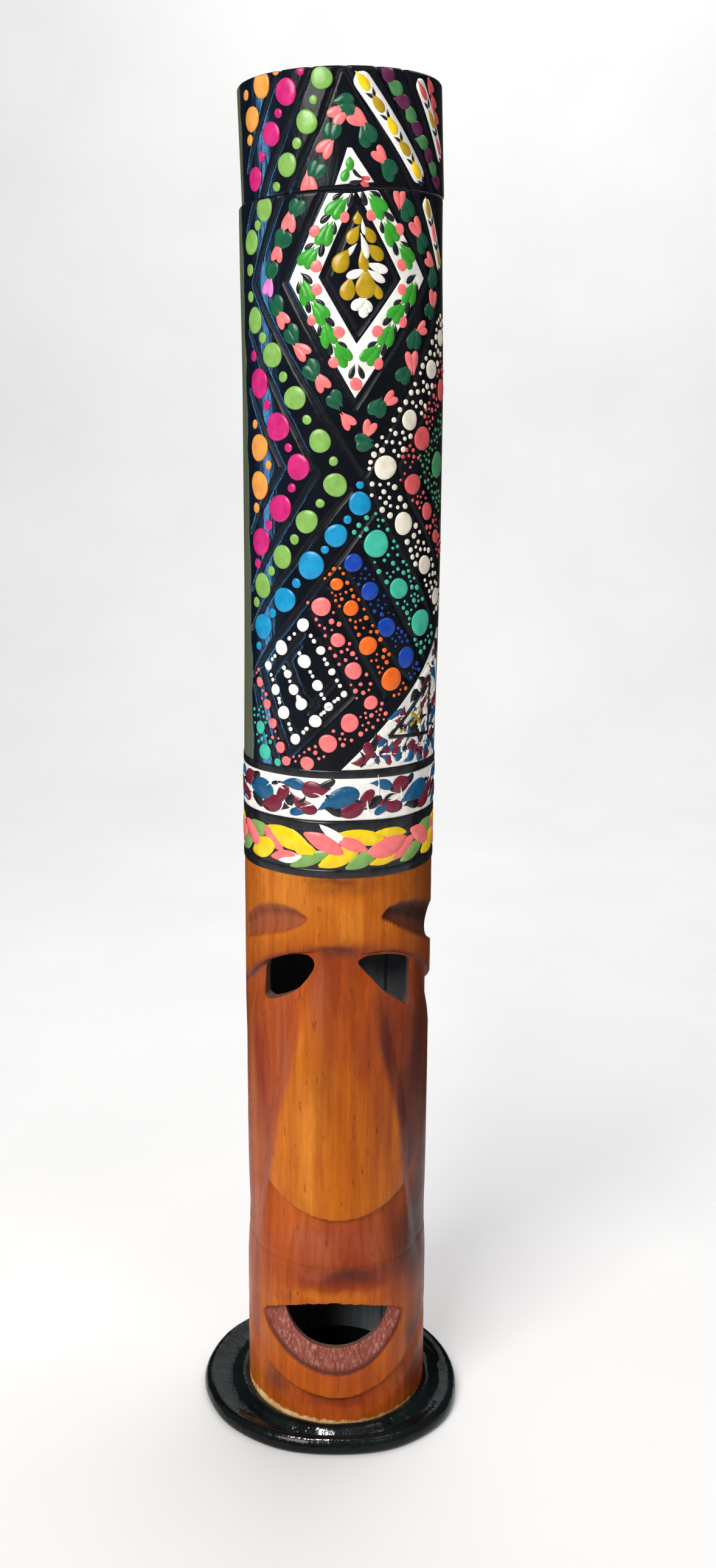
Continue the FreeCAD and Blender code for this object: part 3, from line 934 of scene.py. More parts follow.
def baseShape():
    spots = [
        (r * math.sin(math.radians(30 * k)), -r * math.cos(math.radians(30 * k))) for k,
        r in enumerate(base["reach"])
    ]
    rim = np.array(closedCurve(spots, base["columns"] // len(spots)))
    reach = np.hypot(rim[:, 0], rim[:, 1])
    way = rim / reach[:, None]
    around = np.degrees(np.arctan2(rim[:, 0], -rim[:, 1]))
    wobble = ripple(around * 0.5, around * 0.2, 3)
    # heights from the middle of the underside, round the rim, to the middle of the top
    fixedRings = [(44.15, 8.9), (45.2, 9.7), (46.6, 10.0), (48.2, 9.7), (49.8, 8.9), (51.2, 8.0),
        (52.8, 7.4)]
    rimRings = [(6.4, 7.0), (5.2, 7.6), (4.0, 8.0), (2.9, 7.9), (1.8, 7.2), (0.9, 6.0), (0.25, 4.6),
        (0.0, 3.2),
                (0.15, 1.9), (0.7, 0.8), (1.6, 0.2), (2.8, 0.0)]
    rings = []
    for inner in (12.0, 26.0, 36.0, 42.0):
        rings.append((np.full(len(reach), inner), np.full(len(reach), base["top"] - 0.05)))
    lower = base["top"] - 8.0
    frontSwell = np.exp(-(((around + 12) / 55) ** 2))
    for r, z in fixedRings:
        out = 0.5 * wobble * (r > 44.5)
        swell = (z - 7.0) * (0.35 * frontSwell - 0.2)
        rings.append((np.full(len(reach), r) + out, z + lower + swell + 0.2 * wobble * (r > 46)))
    for inset, z in rimRings:
        rings.append((reach - inset, np.minimum(z, 6.6) + max(0.0, z - 6.6) * (0.3 + 0.7 * frontSwell)))
    rings.append((np.full(len(reach), 46.0), np.zeros(len(reach))))
    rings.append((np.full(len(reach), 20.0), np.zeros(len(reach))))
    verts = [np.stack([way[:, 0] * r, way[:, 1] * r, z], -1) for r, z in rings]
    verts = np.concatenate(verts + [np.array([[0, 0, base["top"] - 0.05], [0, 0, 0]])])
    count, columns = len(rings), len(reach)
    faces = loopFaces(count, columns).tolist()[: (count - 1) * columns]
    top, under = len(verts) - 2, len(verts) - 1
    last = (count - 1) * columns
    for k in range(columns):
        faces.append([top, k, (k + 1) % columns])
        faces.append([under, last + (k + 1) % columns, last + k])
    return verts * mm, faces


def nailSinks():
    # four blind holes under the base, one cutter
    verts, faces, sides = [], [], 32
    for corner in (45, 135, 225, 315):
        x = base["nailReach"] * math.sin(math.radians(corner))
        y = -base["nailReach"] * math.cos(math.radians(corner))
        start = len(verts)
        for z in (-1.0, 1.6):
            for k in range(sides):
                t = 2 * math.pi * k / sides
                verts.append((x + base["nailSink"] * math.cos(t), y + base["nailSink"] * math.sin(t), z))
        for k in range(sides):
            following = start + (k + 1) % sides
            faces.append([start + k, following, following + sides, start + sides + k])
        faces += [[start + k for k in range(sides)][::-1], [start + sides + k for k in range(sides)]]
    mesh = bpy.data.meshes.new("nailSinks")
    mesh.from_pydata([tuple(c * mm for c in v) for v in verts], [], faces)
    cutter = bpy.data.objects.new("nailSinks", mesh)
    bpy.context.scene.collection.objects.link(cutter)
    return cutter


verts, faces = baseShape()
basePlate = newPiece("basePlate", verts, faces, [baseBlack], "stick", "black_gloss_wood", "base_plate")
carve(basePlate, [nailSinks()])
wear = basePlate.data.attributes.new("wear", "FLOAT", "POINT")
co, around = vertexPlaces(basePlate.data)
leftSide = np.exp(-(((around + 72) / 30) ** 2)) * smoothStep(50, 58, np.hypot(co[:, 0], co[:, 1]))
wear.data.foreach_set("value", np.clip(leftSide * (co[:, 2] < 4.5) + (co[:, 2] < 0.6) * 0.4, 0, 1))
sharpenEdges(basePlate.data, 50)
print("base made")

# raised paint: dots, petals, bands

paintPot = {}  # (colour, part) -> vertices and faces laid down so far


def layPaint(colour, part, points, faces):
    verts, laid = paintPot.setdefault((colour, part), ([], []))
    start = len(verts)
    verts.extend(points)
    laid.extend([[start + k for k in face] for face in faces])


def placePoints(angles, heights, lifts, part):
    # keep paint on its own side of the saw cut
    angles, heights, lifts = (np.asarray(v, float) for v in (angles, heights, lifts))
    if part == "cap":
        low, high = seamHeight(angles) + tube["seamGap"] + 0.5, rimHeight(angles) - 0.4
    else:
        low, high = np.full(angles.shape, tube["foot"]), seamHeight(angles) - 0.5
    inside = np.clip(heights, low, high)
    lifts = np.where(np.abs(inside - heights) > 0.01, np.minimum(lifts, 0.12), lifts)
    return (onWall(angles, inside, lifts, part) * mm).tolist()


beads = {
    "high": 0.78,
    "sunk": -0.3,
    "uneven": 0.035,
    "clear": 0.74,  # wall left open between two fine drops
    "lowest": 331,  # top of the black ring that closes the painting
    "tries": 1.5,
}


def bead(colour, angle, height, width, part="stick", tall=None, tilt=0.0):
    # one drop of enamel: steep edge, softly domed top
    tall = tall or width
    segments = 26 if width > 7 else 18 if width > 4 else 12 if width > 2 else 8
    if width > 4:
        rings = ((1.0, None), (0.985, 0.3), (0.93, 0.56), (0.82, 0.78), (0.6, 0.93), (0.3, 1.0))
    else:
        rings = ((1.0, None), (0.95, 0.4), (0.72, 0.8), (0.38, 1.0))
    high = beads["high"] * min(1.0, 0.36 + width / 13.0)
    turnA, turnB = dice.uniform(0, 6.3), dice.uniform(0, 6.3)
    angles, heights, lifts = [], [], []
    for reach, rise in rings:
        for k in range(segments):
            t = 2 * math.pi * k / segments
            bulge = 1 + beads["uneven"] * (math.sin(2 * t + turnA) + 0.6 * math.sin(3 * t + turnB))
            x = 0.5 * width * reach * bulge * math.cos(t)
            y = 0.5 * tall * reach * bulge * math.sin(t)
            angles.append(angle + (x * math.cos(tilt) - y * math.sin(tilt)) / tube["degree"])
            heights.append(height + x * math.sin(tilt) + y * math.cos(tilt))
            lifts.append(beads["sunk"] if rise is None else high * rise)
    for lift in (beads["sunk"], high * 1.01):
        angles.append(angle)
        heights.append(height)
        lifts.append(lift)
    faces = []
    for ring in range(len(rings) - 1):
        a, b = ring * segments, (ring + 1) * segments
        faces += [[a + k, a + (k + 1) % segments, b + (k + 1) % segments, b + k] for k in range(segments)]
    bottom, top = len(angles) - 2, len(angles) - 1
    last = (len(rings) - 1) * segments
    faces += [[last + k, last + (k + 1) % segments, top] for k in range(segments)]
    faces += [[(k + 1) % segments, k, bottom] for k in range(segments)]
    layPaint(colour, part, placePoints(angles, heights, lifts, part), faces)


def chain(colour, part, bigs, small=4.0, between=1, extras=(), closed=False):
    # big drops in a row with small ones between them
    for angle, height, width in list(bigs) + list(extras):
        bead(colour, angle, height, width, part)
    following = bigs[1:] + (bigs[:1] if closed else [])
    for (a, b, c), (d, e, f) in zip(bigs, following):
        span = math.hypot((d - a) * tube["degree"], e - b)
        for k in range(between):
            t = (k + 1) / (between + 1)
            t = (c / 2 + (span - c / 2 - f / 2) * t) / span
            wobble = dice.uniform(-0.5, 0.5)
            bead(colour, a + (d - a) * t + wobble, b + (e - b) * t, small * dice.uniform(0.88, 1.08),
                part)


def scatter(colour, paths, half, taken, sizes, tries):
    # fine drops shaken over a band, each clear of its neighbours
    placed = [(a * tube["degree"], b, c / 2) for a, b, c in taken]
    for _ in range(int(beads["tries"] * tries)):
        path = dice.choice(paths)
        (a, b), (c, d) = path
        t = dice.random()
        off = dice.uniform(-half, half)
        across = (c - a) * tube["degree"], d - b
        length = math.hypot(*across)
        x = a * tube["degree"] + across[0] * t - across[1] / length * off
        y = b + across[1] * t + across[0] / length * off
        width = dice.uniform(*sizes)
        reach = width / 2
        apart = all(math.hypot(x - p, y - q) > reach + r + beads["clear"] for p, q, r in placed)
        if apart and y - reach > beads["lowest"]:
            placed.append((x, y, reach))
            bead(colour, x / tube["degree"], y, width, "stick")


def sweptFaces(rows, count):
    # a closed section carried along a line, shut at both ends
    faces = []
    for k in range(rows - 1):
        a, b = k * count, (k + 1) * count
        faces += [[a + j, b + j, b + (j + 1) % count, a + (j + 1) % count] for j in range(count)]
    last = (rows - 1) * count
    return faces + [list(range(count)), [last + count - 1 - j for j in range(count)]]


def stroke(colour, angle, height, length, width, heading, curl=0.0, shape="drop", part="stick", lift=0.0):
    # one pull of a loaded brush: "drop" has a round head and a thin tail,
    # "leaf" is pointed at both ends; (angle, height) is its middle
    sections = 13
    if shape == "drop":
        steps = [(k / (sections - 1)) ** 1.5 for k in range(sections)]
    else:
        steps = [k / (sections - 1) for k in range(sections)]
    turn = math.radians(heading)
    bend = math.radians(curl)
    x, y, line = 0.0, 0.0, []
    for k, t in enumerate(steps):
        way = turn + bend * (t - 0.5)
        if k:
            x += length * (t - steps[k - 1]) * math.cos(way)
            y += length * (t - steps[k - 1]) * math.sin(way)
        line.append((x, y, way))
    middle = line[sections // 2]
    angles, heights, lifts = [], [], []
    for t, (px, py, way) in zip(steps, line):
        if shape == "drop" and t < 0.36:
            half = 0.5 * width * math.sqrt(max(0.0, 1 - ((0.36 - t) / 0.36) ** 2))
        elif shape == "drop":
            half = 0.5 * width * max(0.0, math.cos(math.pi / 2 * (t - 0.36) / 0.64)) ** 1.25
        else:
            half = 0.5 * width * math.sin(math.pi * min(1, 0.04 + t * 0.92)) ** 0.9
        half = max(half, 0.12)
        fat = min(1.0, 2.2 * half / width + 0.25)
        high = lift + (0.2 + 0.018 * width) * fat
        section = ((-1, -0.25), (-0.82, high * 0.8), (0, high), (0.82, high * 0.8), (1, -0.25), (0, -0.3))
        for side, rise in section:
            angles.append(angle + (px - middle[0] - side * half * math.sin(way)) / tube["degree"])
            heights.append(height + py - middle[1] + side * half * math.cos(way))
            lifts.append(rise)
    faces = sweptFaces(sections, len(section))
    layPaint(colour, part, placePoints(angles, heights, lifts, part), faces)


def heart(colour, angle, height, length, width, heading, part="stick"):
    # two drops laid side by side, tails together
    turn = math.radians(heading)
    for side in (-1, 1):
        off = 0.2 * width * side
        a = angle - off * math.sin(turn) / tube["degree"]
        stroke(colour, a, height + off * math.cos(turn), length, 0.6 * width, heading - 14 * side,
            26 * side, "drop", part)


def leafPair(colour, angle, height, length, width, heading, part="stick", lift=0.0):
    # a leaf made of two pulls that meet along its rib
    turn = math.radians(heading)
    for side in (-1, 1):
        off = 0.17 * width * side
        slip = 0.09 * length * (side > 0)
        a = angle - (off * math.sin(turn) + slip * math.cos(turn)) / tube["degree"]
        h = height + off * math.cos(turn) - slip * math.sin(turn)
        stroke(colour, a, h, length, 0.68 * width, heading - 9 * side, 18 * side, "drop", part, lift)


def patch(colour, part, corners, lift=0.22, fine=1.6):
    # a flat coat between four corners, its edges rounded down to the wall
    (a, b, c, d) = [np.array([p[0] * tube["degree"], p[1]], float) for p in corners]
    long = max(3, int(max(np.linalg.norm(b - a), np.linalg.norm(c - d)) / fine))
    wide = max(3, int(max(np.linalg.norm(d - a), np.linalg.norm(c - b)) / fine))
    u = np.concatenate([[0, 0], np.linspace(0.0, 1, long + 1)[1:-1], [1, 1]])
    v = np.concatenate([[0, 0], np.linspace(0.0, 1, wide + 1)[1:-1], [1, 1]])
    eased = 0.35
    uu, vv = np.meshgrid(u, v, indexing="ij")
    points = ((1 - uu) * (1 - vv))[..., None] * a + (uu * (1 - vv))[..., None] * b
    points = points + (uu * vv)[..., None] * c + ((1 - uu) * vv)[..., None] * d
    middle = (a + b + c + d) / 4
    row, column = np.indices(uu.shape)
    rim = (row == 0) | (row == uu.shape[0] - 1) | (column == 0) | (column == uu.shape[1] - 1)
    near = (row == 1) | (row == uu.shape[0] - 2) | (column == 1) | (column == uu.shape[1] - 2)
    inward = middle - points
    inward = inward / np.maximum(np.linalg.norm(inward, axis=-1, keepdims=True), 1e-6)
    points = points + inward * np.where(near & ~rim, eased, 0.0)[..., None]
    lifts = np.where(rim, -0.25, lift)
    angles, heights = (points[..., 0] / tube["degree"]).ravel(), points[..., 1].ravel()
    top = placePoints(angles, heights, lifts.ravel(), part)
    under = placePoints(angles, heights, np.where(rim, -0.25, -0.3).ravel(), part)
    rows, cols = uu.shape
    faces = gridFaces(rows, cols)
    flipped = [face[::-1] for face in gridFaces(rows, cols, rows * cols)]
    rimWalk = [(0, k) for k in range(cols)] + [(k, cols - 1) for k in range(1, rows)]
    rimWalk += [(rows - 1, k) for k in range(cols - 2, -1, -1)] + [(k, 0) for k in range(rows - 2, 0, -1)]
    ids = [i * cols + j for i, j in rimWalk]
    side = [[p, p + rows * cols, q + rows * cols, q] for p, q in zip(ids, ids[1:] + ids[:1])]
    layPaint(colour, part, top + under, faces + flipped + side)


def ribbon(colour, part, path, width, lift=0.25, rounded=True, fine=1.2):
    # an even line of paint along a path
    points = [np.array([a * tube["degree"], h]) for a, h in path]
    line = [points[0]]
    for p, q in zip(points, points[1:]):
        steps = max(1, int(np.linalg.norm(q - p) / fine))
        line += [p + (q - p) * (k + 1) / steps for k in range(steps)]
    section = ((-1, -0.25), (-0.93, lift * 0.8), (0, lift), (0.93, lift * 0.8), (1, -0.25), (0, -0.3))
    angles, heights, lifts = [], [], []
    total = sum(np.linalg.norm(q - p) for p, q in zip(line, line[1:]))
    walked = 0.0
    for k, p in enumerate(line):
        before, after = line[max(0, k - 1)], line[min(len(line) - 1, k + 1)]
        way = (after - before) / np.linalg.norm(after - before)
        if k:
            walked += np.linalg.norm(p - line[k - 1])
        half = width / 2
        if rounded:
            end = min(walked, total - walked) / half
            half *= math.sqrt(max(0.02, 1 - (1 - min(1, end)) ** 2))
        for side, rise in section:
            spot = p + half * side * np.array([-way[1], way[0]])
            angles.append(spot[0] / tube["degree"])
            heights.append(spot[1])
            lifts.append(rise)
    faces = sweptFaces(len(line), len(section))
    layPaint(colour, part, placePoints(angles, heights, lifts, part), faces)


def ringBand(colour, low, high, lift, wave=0.0):
    # paint carried right round the tube
    columns = np.arange(0, 360, 2.0)
    half = (high - low) / 2
    section = [(-1, -0.3), (-1, lift * 0.3), (-0.93, lift * 0.85), (-0.5, lift), (0.5, lift),
        (0.93, lift * 0.85)]
    section += [(1, lift * 0.3), (1, -0.3)]
    verts = []
    for side, rise in section:
        for angle in columns:
            ripple = 0.5 * math.sin(math.radians(7 * angle))
            sway = wave * (math.sin(math.radians(3 * angle + 40 * low)) + ripple)
            verts.append((onWall(angle, (low + high) / 2 + side * half + sway, rise) * mm).tolist())
    layPaint(colour, "stick", verts, loopFaces(len(section), len(columns)).tolist())


# dots on the left of the cap and of the chamber: big drops, size of the small
# drops between them and how many, then drops that stand on their own
dotRows = [
    ("Amber", "cap", [(-47, 605.5, 10), (-57, 594, 10)], 0, 0,
        [(-62.5, 603.5, 4.2), (-60, 586.5, 4.4), (-36, 609.3, 3.2)]),
    ("Magenta", "cap", [(-30, 601.5, 10), (-41, 587, 9.4), (-56, 571.5, 9.4)], 4, 1, [(-21, 608.5, 3.6)]),
    ("Lime", "cap", [(-9.5, 605.5, 8.6), (-18.5, 590, 9), (-31, 575, 9)], 4, 1, [(-38.5, 567.3, 4)]),
    ("Lime", "stick", [(-46, 559.5, 9.5), (-58.5, 547.5, 10)], 4.6, 1,
        [(-60.5, 537, 5), (-60.5, 526.5, 4.6)]),
    ("Lime", "stick", [(-56.5, 517, 10.4), (-42, 503, 10.4), (-27, 486, 9.8), (-12.5, 469, 9.4)], 4.5, 1,
        [(-5, 461, 4)]),
    ("Lime", "stick", [(-4, 451.5, 9.8), (-20, 436.5, 9.8), (-35.5, 421.5, 9.8), (-51.5, 408.5, 10.8)],
        4.2, 1, [(-57.5, 401, 4.6)]),
    ("Magenta", "stick", [(-53.5, 492, 12), (-38.5, 474.5, 12), (-25, 458.5, 10.6)], 4.2, 1,
        [(-58.5, 503, 4.4), (-29, 450, 4)]),
    ("Magenta", "stick", [(-37, 441.5, 11.6), (-53, 427, 12)], 4.2, 1, [(-56, 417.7, 4.4)]),
    ("Amber", "stick", [(-54, 466, 11.6), (-54, 450.5, 12)], 0, 0,
        [(-58, 475.5, 4), (-45.5, 459, 4), (-57, 441, 4.4)]),
    ("Cyan", "stick", [(9.5, 444, 9.6), (-3.5, 431, 9.6), (-17.5, 418.5, 11.6), (-34, 403.5, 10.8),
        (-51, 391, 11.4)], 3.9, 1, [(9.5, 451.5, 3.4), (-55, 382.3, 4)]),
]
for colour, part, bigs, small, between, extras in dotRows:
    chain(colour, part, bigs, small, between, extras)

# bands of big drops with fine ones shaken round them
shakenBands = [
    ("Cream", [(24, 458.5, 10), (39.5, 477.5, 8.2), (58.5, 498, 8), (72, 511, 7), (36, 435.5, 9.4),
        (54, 417.5, 8.4), (69, 403, 7.4)],
     [((17, 456), (77, 519)), ((18, 454), (76, 397))], 5.6, (1.5, 2.8), 1500),
    ("CoralRed", [(50, 470, 10), (42.5, 451.5, 8.8), (55.5, 440, 7.4), (73, 490, 9), (67, 429, 6)],
     [((37, 459), (78, 500)), ((36, 456), (78, 421))], 4.2, (1.1, 2.3), 800),
    ("PineGreen", [(68, 459, 11.5)], [((50, 459), (76, 478)), ((50, 458), (76, 442))], 4.0, (1.1, 2.0),
        260),
    ("Turquoise", [(19, 427.5, 11.2), (33.5, 408.5, 9), (51.5, 393, 12)], [((12, 438), (60, 382))], 6.8,
        (1.2, 2.5), 900),
    ("Royal", [(6, 419.8, 7.8), (15.5, 408, 7.8), (26, 392.5, 8.4), (40, 378.8, 9.2)],
        [((4, 423), (48, 371))], 3.6, (0.9, 2.2), 700),
    ("Orange", [(-3, 411, 5.4), (5, 401, 6.6), (15, 385, 8), (30, 370, 10)], [((-7, 417), (36, 363))],
        4.4, (1.0, 2.3), 800),
    ("Coral", [(-11.5, 401.5, 8.2), (-2, 387.5, 6.2), (7, 374.5, 7.4), (17.5, 360.5, 6.2), (5.5, 352, 8),
        (-6.5, 343, 8), (-18.5, 333.8, 6.2)],
     [((-14, 405), (14, 364)), ((26, 358), (-28, 331))], 4.4, (1.1, 2.6), 1000),
    ("Coral", [(-54, 366.5, 4.6), (-47, 357.5, 4.6), (-42, 349.5, 4.6), (-36, 339.5, 5),
        (-32, 333.8, 4.4)],
     [((-57, 372), (-33, 333))], 2.0, (1.0, 2.0), 160),
    ("Turquoise", [(-53, 346.5, 6), (-48.5, 336, 7.6), (-38, 332.6, 3.8)], [((-57, 355), (-45, 332))],
        4.2, (1.1, 2.2), 260),
]
for colour, bigs, paths, half, sizes, tries in shakenBands:
    for angle, height, width in bigs:
        bead(colour, angle, height, width)
    scatter(colour, paths, half, bigs, sizes, tries)

# white lozenge, one row inside the other
chain("White", "stick", [(-22, 393.5, 5.6), (-36, 383, 6.4), (-46, 374.5, 4.2), (-40, 364.5, 4.8),
    (-34, 355, 6), (-26, 344, 4.8),
                         (-14, 352.5, 5.6), (-6.5, 359, 4), (2, 364.5, 3), (-5, 374, 3.2),
                         (-11.5, 383, 4)], 1.9, 2, (), True)
chain("White", "stick", [(-31.5, 372, 4), (-27.5, 365.5, 4.8), (-22.5, 359.5, 5.4)], 1.7, 1,
    [(-34, 374.5, 2.2), (-24, 361.8, 2.6)])
chain("White", "stick", [(-21, 378, 6), (-13, 368, 4.8), (-6.5, 359, 4)], 1.8, 2, [(-24, 381.3, 2)])

# leaves and hearts round the big diamond
petalWay = [
    ("Coral", -2, 592), ("DarkLeaf", -5, 586.5), ("Coral", -9, 580), ("DarkLeaf", -14, 572.5),
    ("Coral", -18.5, 566.3),
    ("DarkLeaf", -24, 559), ("Coral", -29, 553), ("DarkLeaf", -33, 547.5), ("Coral", -37, 541.5),
    ("DarkLeaf", -41, 536),
    ("Pink", -44, 529), ("DarkLeaf", -38, 522), ("Coral", -34, 516.5), ("DarkLeaf", -28.5, 511),
    ("Coral", -22, 504),
    ("DarkLeaf", -17, 497), ("Coral", -11, 491.5), ("DarkLeaf", -4.5, 485.5), ("Coral", 3, 476.5),
    ("DarkLeaf", 11, 468.5),
    ("Coral", 14.5, 474.5), ("DarkLeaf", 19, 482), ("Coral", 27, 486), ("DarkLeaf", 35, 495),
    ("Coral", 41, 501.5),
    ("DarkLeaf", 43, 509), ("Coral", 50, 514), ("DarkLeaf", 57, 521), ("Coral", 61, 526.5),
    ("DarkLeaf", 61, 534),
    ("Coral", 56.5, 541), ("DarkLeaf", 50, 547), ("Coral", 44.5, 553), ("DarkLeaf", 38.5, 558.5),
    ("Coral", 33, 563.3),
    ("DarkLeaf", 26, 573), ("Coral", 20, 578.5), ("DarkLeaf", 14, 585), ("Coral", 8, 591.5),
    ("DarkLeaf", 3, 596),
]
for k, (colour, angle, height) in enumerate(petalWay):
    _, a, b = petalWay[(k - 1) % len(petalWay)]
    _, c, d = petalWay[(k + 1) % len(petalWay)]
    heading = math.degrees(math.atan2(d - b, (c - a) * tube["degree"]))
    part = "cap" if height > seamHeight(angle) else "stick"
    if colour == "DarkLeaf":
        size = dice.uniform(0.88, 1.06)
        leafPair(colour, angle, height, 8.8 * size, 8.6 * size, heading + dice.uniform(-14, 14), part)
    else:
        size = dice.uniform(0.82, 1.05)
        heart(colour, angle, height, 9.4 * size, 7.2 * size, heading + 180 + dice.uniform(-30, 30), part)


def frameCoat(colour, part, outer, inner, lift=0.24, fine=1.4):
    # the white diamond: one mitred frame on the chamber, its tip on the cap
    shares = (0, 0.035, 0.08, 0.3, 0.5, 0.7, 0.92, 0.965, 1)
    rises = (-0.25, 0.75 * lift, lift, lift, lift, lift, lift, 0.75 * lift, -0.25)
    columns = []
    for k in range(len(outer) - 1):
        steps = int(math.hypot(outer[k + 1][0] - outer[k][0], outer[k + 1][1] - outer[k][1]) / fine)
        shift = 1 if k else 0
        for n in range(shift, steps + 1):
            t = n / steps
            far = [outer[k][m] + (outer[k + 1][m] - outer[k][m]) * t for m in (0, 1)]
            near = [inner[k][m] + (inner[k + 1][m] - inner[k][m]) * t for m in (0, 1)]
            columns.append((far, near))
    angles, heights, lifts = [], [], []
    for far, near in columns:
        for share, rise in zip(shares, rises):
            angles.append(far[0] + (near[0] - far[0]) * share)
            heights.append(far[1] + (near[1] - far[1]) * share)
            lifts.append(rise)
        angles.append((far[0] + near[0]) / 2)
        heights.append((far[1] + near[1]) / 2)
        lifts.append(-0.3)
    count, faces = len(shares) + 1, []
    for k in range(len(columns) - 1):
        a, b = k * count, (k + 1) * count
        faces += [[a + j, a + (j + 1) % count, b + (j + 1) % count, b + j] for j in range(count)]
    last = (len(columns) - 1) * count
    faces += [[count - 1 - j for j in range(count)], [last + j for j in range(count)]]
    layPaint(colour, part, placePoints(angles, heights, lifts, part), faces)


outerDiamond = [(-7, 563.7), (-29.5, 531), (6.5, 485.5), (51.5, 533.5), (19.8, 565.7)]
innerDiamond = [(7.6, 563.7), (-12, 532.5), (7.5, 507.5), (33.5, 532.5), (8.4, 564.0)]
frameCoat("White", "stick", outerDiamond, innerDiamond)
patch("White", "cap", [(-4.5, 566.6), (17, 568), (5.2, 580.6), (2.8, 580.6)])


def garland(start, end, turn, steps):
    # bright leaves in pairs up a side, with black ones and coral buds
    heading = math.degrees(math.atan2(end[1] - start[1], (end[0] - start[0]) * tube["degree"]))
    way = math.radians(heading)

    def spot(t, off):
        x = (start[0] + (end[0] - start[0]) * t) * tube["degree"] - off * math.sin(way)
        return x / tube["degree"], start[1] + (end[1] - start[1]) * t + off * math.cos(way)

    for k in range(steps):
        t = (k + 0.5) / steps
        side = turn if k % 2 else -turn
        leafPair("BrightLeaf", *spot(t, 0.8 * side), 10.0, 7.6, heading + 180 + 9 * side, "stick", 0.25)
        stroke("Black", *spot(t - 0.5 / steps, -2.6 * side), 6.6, 3.0, heading + 180 - 20 * side,
            -20 * side, "drop", "stick", 0.26)
        stroke("Black", *spot(t - 0.36 / steps, 2.9 * side), 5.2, 2.4, heading + 180 + 26 * side,
            20 * side, "drop", "stick", 0.24)
        bead("Coral", *spot(t + 0.06 / steps, -3.6 * side), dice.uniform(4.2, 5.2), "stick")


garland((2, 562), (-21, 534.5), 1, 3)
garland((-21, 530.5), (2, 498), 1, 4)
garland((15, 563), (42, 536), -1, 3)
garland((42.5, 531), (12, 498), -1, 4)
bead("Coral", 7, 491.5, 5.4)
stroke("Black", 4.6, 495.5, 6, 2.8, 70, 0, "drop", "stick", 0.26)
stroke("Black", 10, 495.5, 6, 2.8, 110, 0, "drop", "stick", 0.26)
stroke("BrightLeaf", 4, 574.5, 5, 4, 90, 0, "leaf", "cap", 0.24)
stroke("BrightLeaf", 1, 570, 6, 4, 60, 30, "drop", "cap", 0.24)
stroke("Black", 7, 571, 6, 1.8, -40, 60, "drop", "cap", 0.24)
stroke("Black", 6, 567.6, 6, 2.2, 10, 40, "drop", "cap", 0.24)
heart("CoralRed", 12, 568.4, 6, 5, 160, "cap")

# the little bunch inside the diamond
bunch = [
    ("Mustard", 9, 554, 4.5, 4, 90), ("Mustard", 6, 547.5, 7.5, 5, 60), ("Mustard", 16, 548, 7, 4.5, 125),
    ("White", 12, 550.5, 5.5, 2, 100),
    ("Mustard", 19.5, 541.5, 8, 5.4, 140), ("White", 4.5, 542, 6, 2.4, 50),
    ("White", 13, 543, 9, 3.2, 105), ("Mustard", -0.5, 537.5, 9.5, 7, 60),
    ("Mustard", 12, 537.5, 9, 4.6, 95), ("White", 21, 536, 9, 4, 165), ("White", 6.5, 533.5, 8, 3.6, 20),
    ("White", 20, 532.5, 8, 3.4, 150),
    ("Mustard", 3, 527, 8.6, 6.6, 75), ("Mustard", 13, 528.5, 10.5, 9, 90),
    ("Mustard", 20, 526.6, 6, 4, 110), ("White", 8, 522, 7, 4.4, 35),
    ("White", 13.5, 521.4, 6.4, 4.6, 130), ("White", 11.5, 519.2, 5.4, 4.4, 95),
]
for k, (colour, angle, height, length, width, heading) in enumerate(bunch):
    stroke(colour, angle, height, 1.12 * length, 1.06 * width, heading, 14 * (-1) ** k, "drop", "stick",
        0.05 * (k % 4))


def petalStrip(start, end, width, colours, part):
    # slanted white strips with petals, high on the right
    ribbon("White", part, [start, end], width, 0.25)
    heading = math.degrees(math.atan2(end[1] - start[1], (end[0] - start[0]) * tube["degree"]))
    length = math.hypot((end[0] - start[0]) * tube["degree"], end[1] - start[1])
    count = max(2, round(length / 10.5))
    way = math.radians(heading)
    for k in range(count):
        t = (k + 0.5) / count
        angle, height = start[0] + (end[0] - start[0]) * t, start[1] + (end[1] - start[1]) * t
        stroke(colours[k % 2], angle, height, 8.6, width * 0.6, heading + 180 + dice.uniform(-9, 9), 10,
            "drop", part, 0.26)
        for side in (-1, 1):
            x = 4.9 * math.cos(way) - 0.9 * side * math.sin(way)
            y = 4.9 * math.sin(way) + 0.9 * side * math.cos(way)
            stroke("Black", angle + x / tube["degree"], height + y, 3.6, 1.5, heading + 180 - 24 * side,
                -20 * side, "drop", part, 0.27)


petalStrip((9, 607.5), (48, 570), 7.6, ("Yellow", "Mustard"), "cap")
petalStrip((52, 564), (72, 538), 5.6, ("Mustard", "Coral"), "stick")
petalStrip((47, 608), (72, 580), 6.0, ("CoralRed", "Mustard"), "cap")
for k in range(9):
    t = k / 8.0
    colour = ("Purple", "DullLeaf")[k % 2]
    stroke(colour, 27 + 38 * t, 607.5 - 36 * t, 8.5, 6.2, 130 + 20 * (k % 3), 10, "drop", "cap", 0.0)
for k in range(3):
    heart("CoralRed", 59 + 3.2 * k, 606 - 5.5 * k, 6.5, 5, 120, "cap")

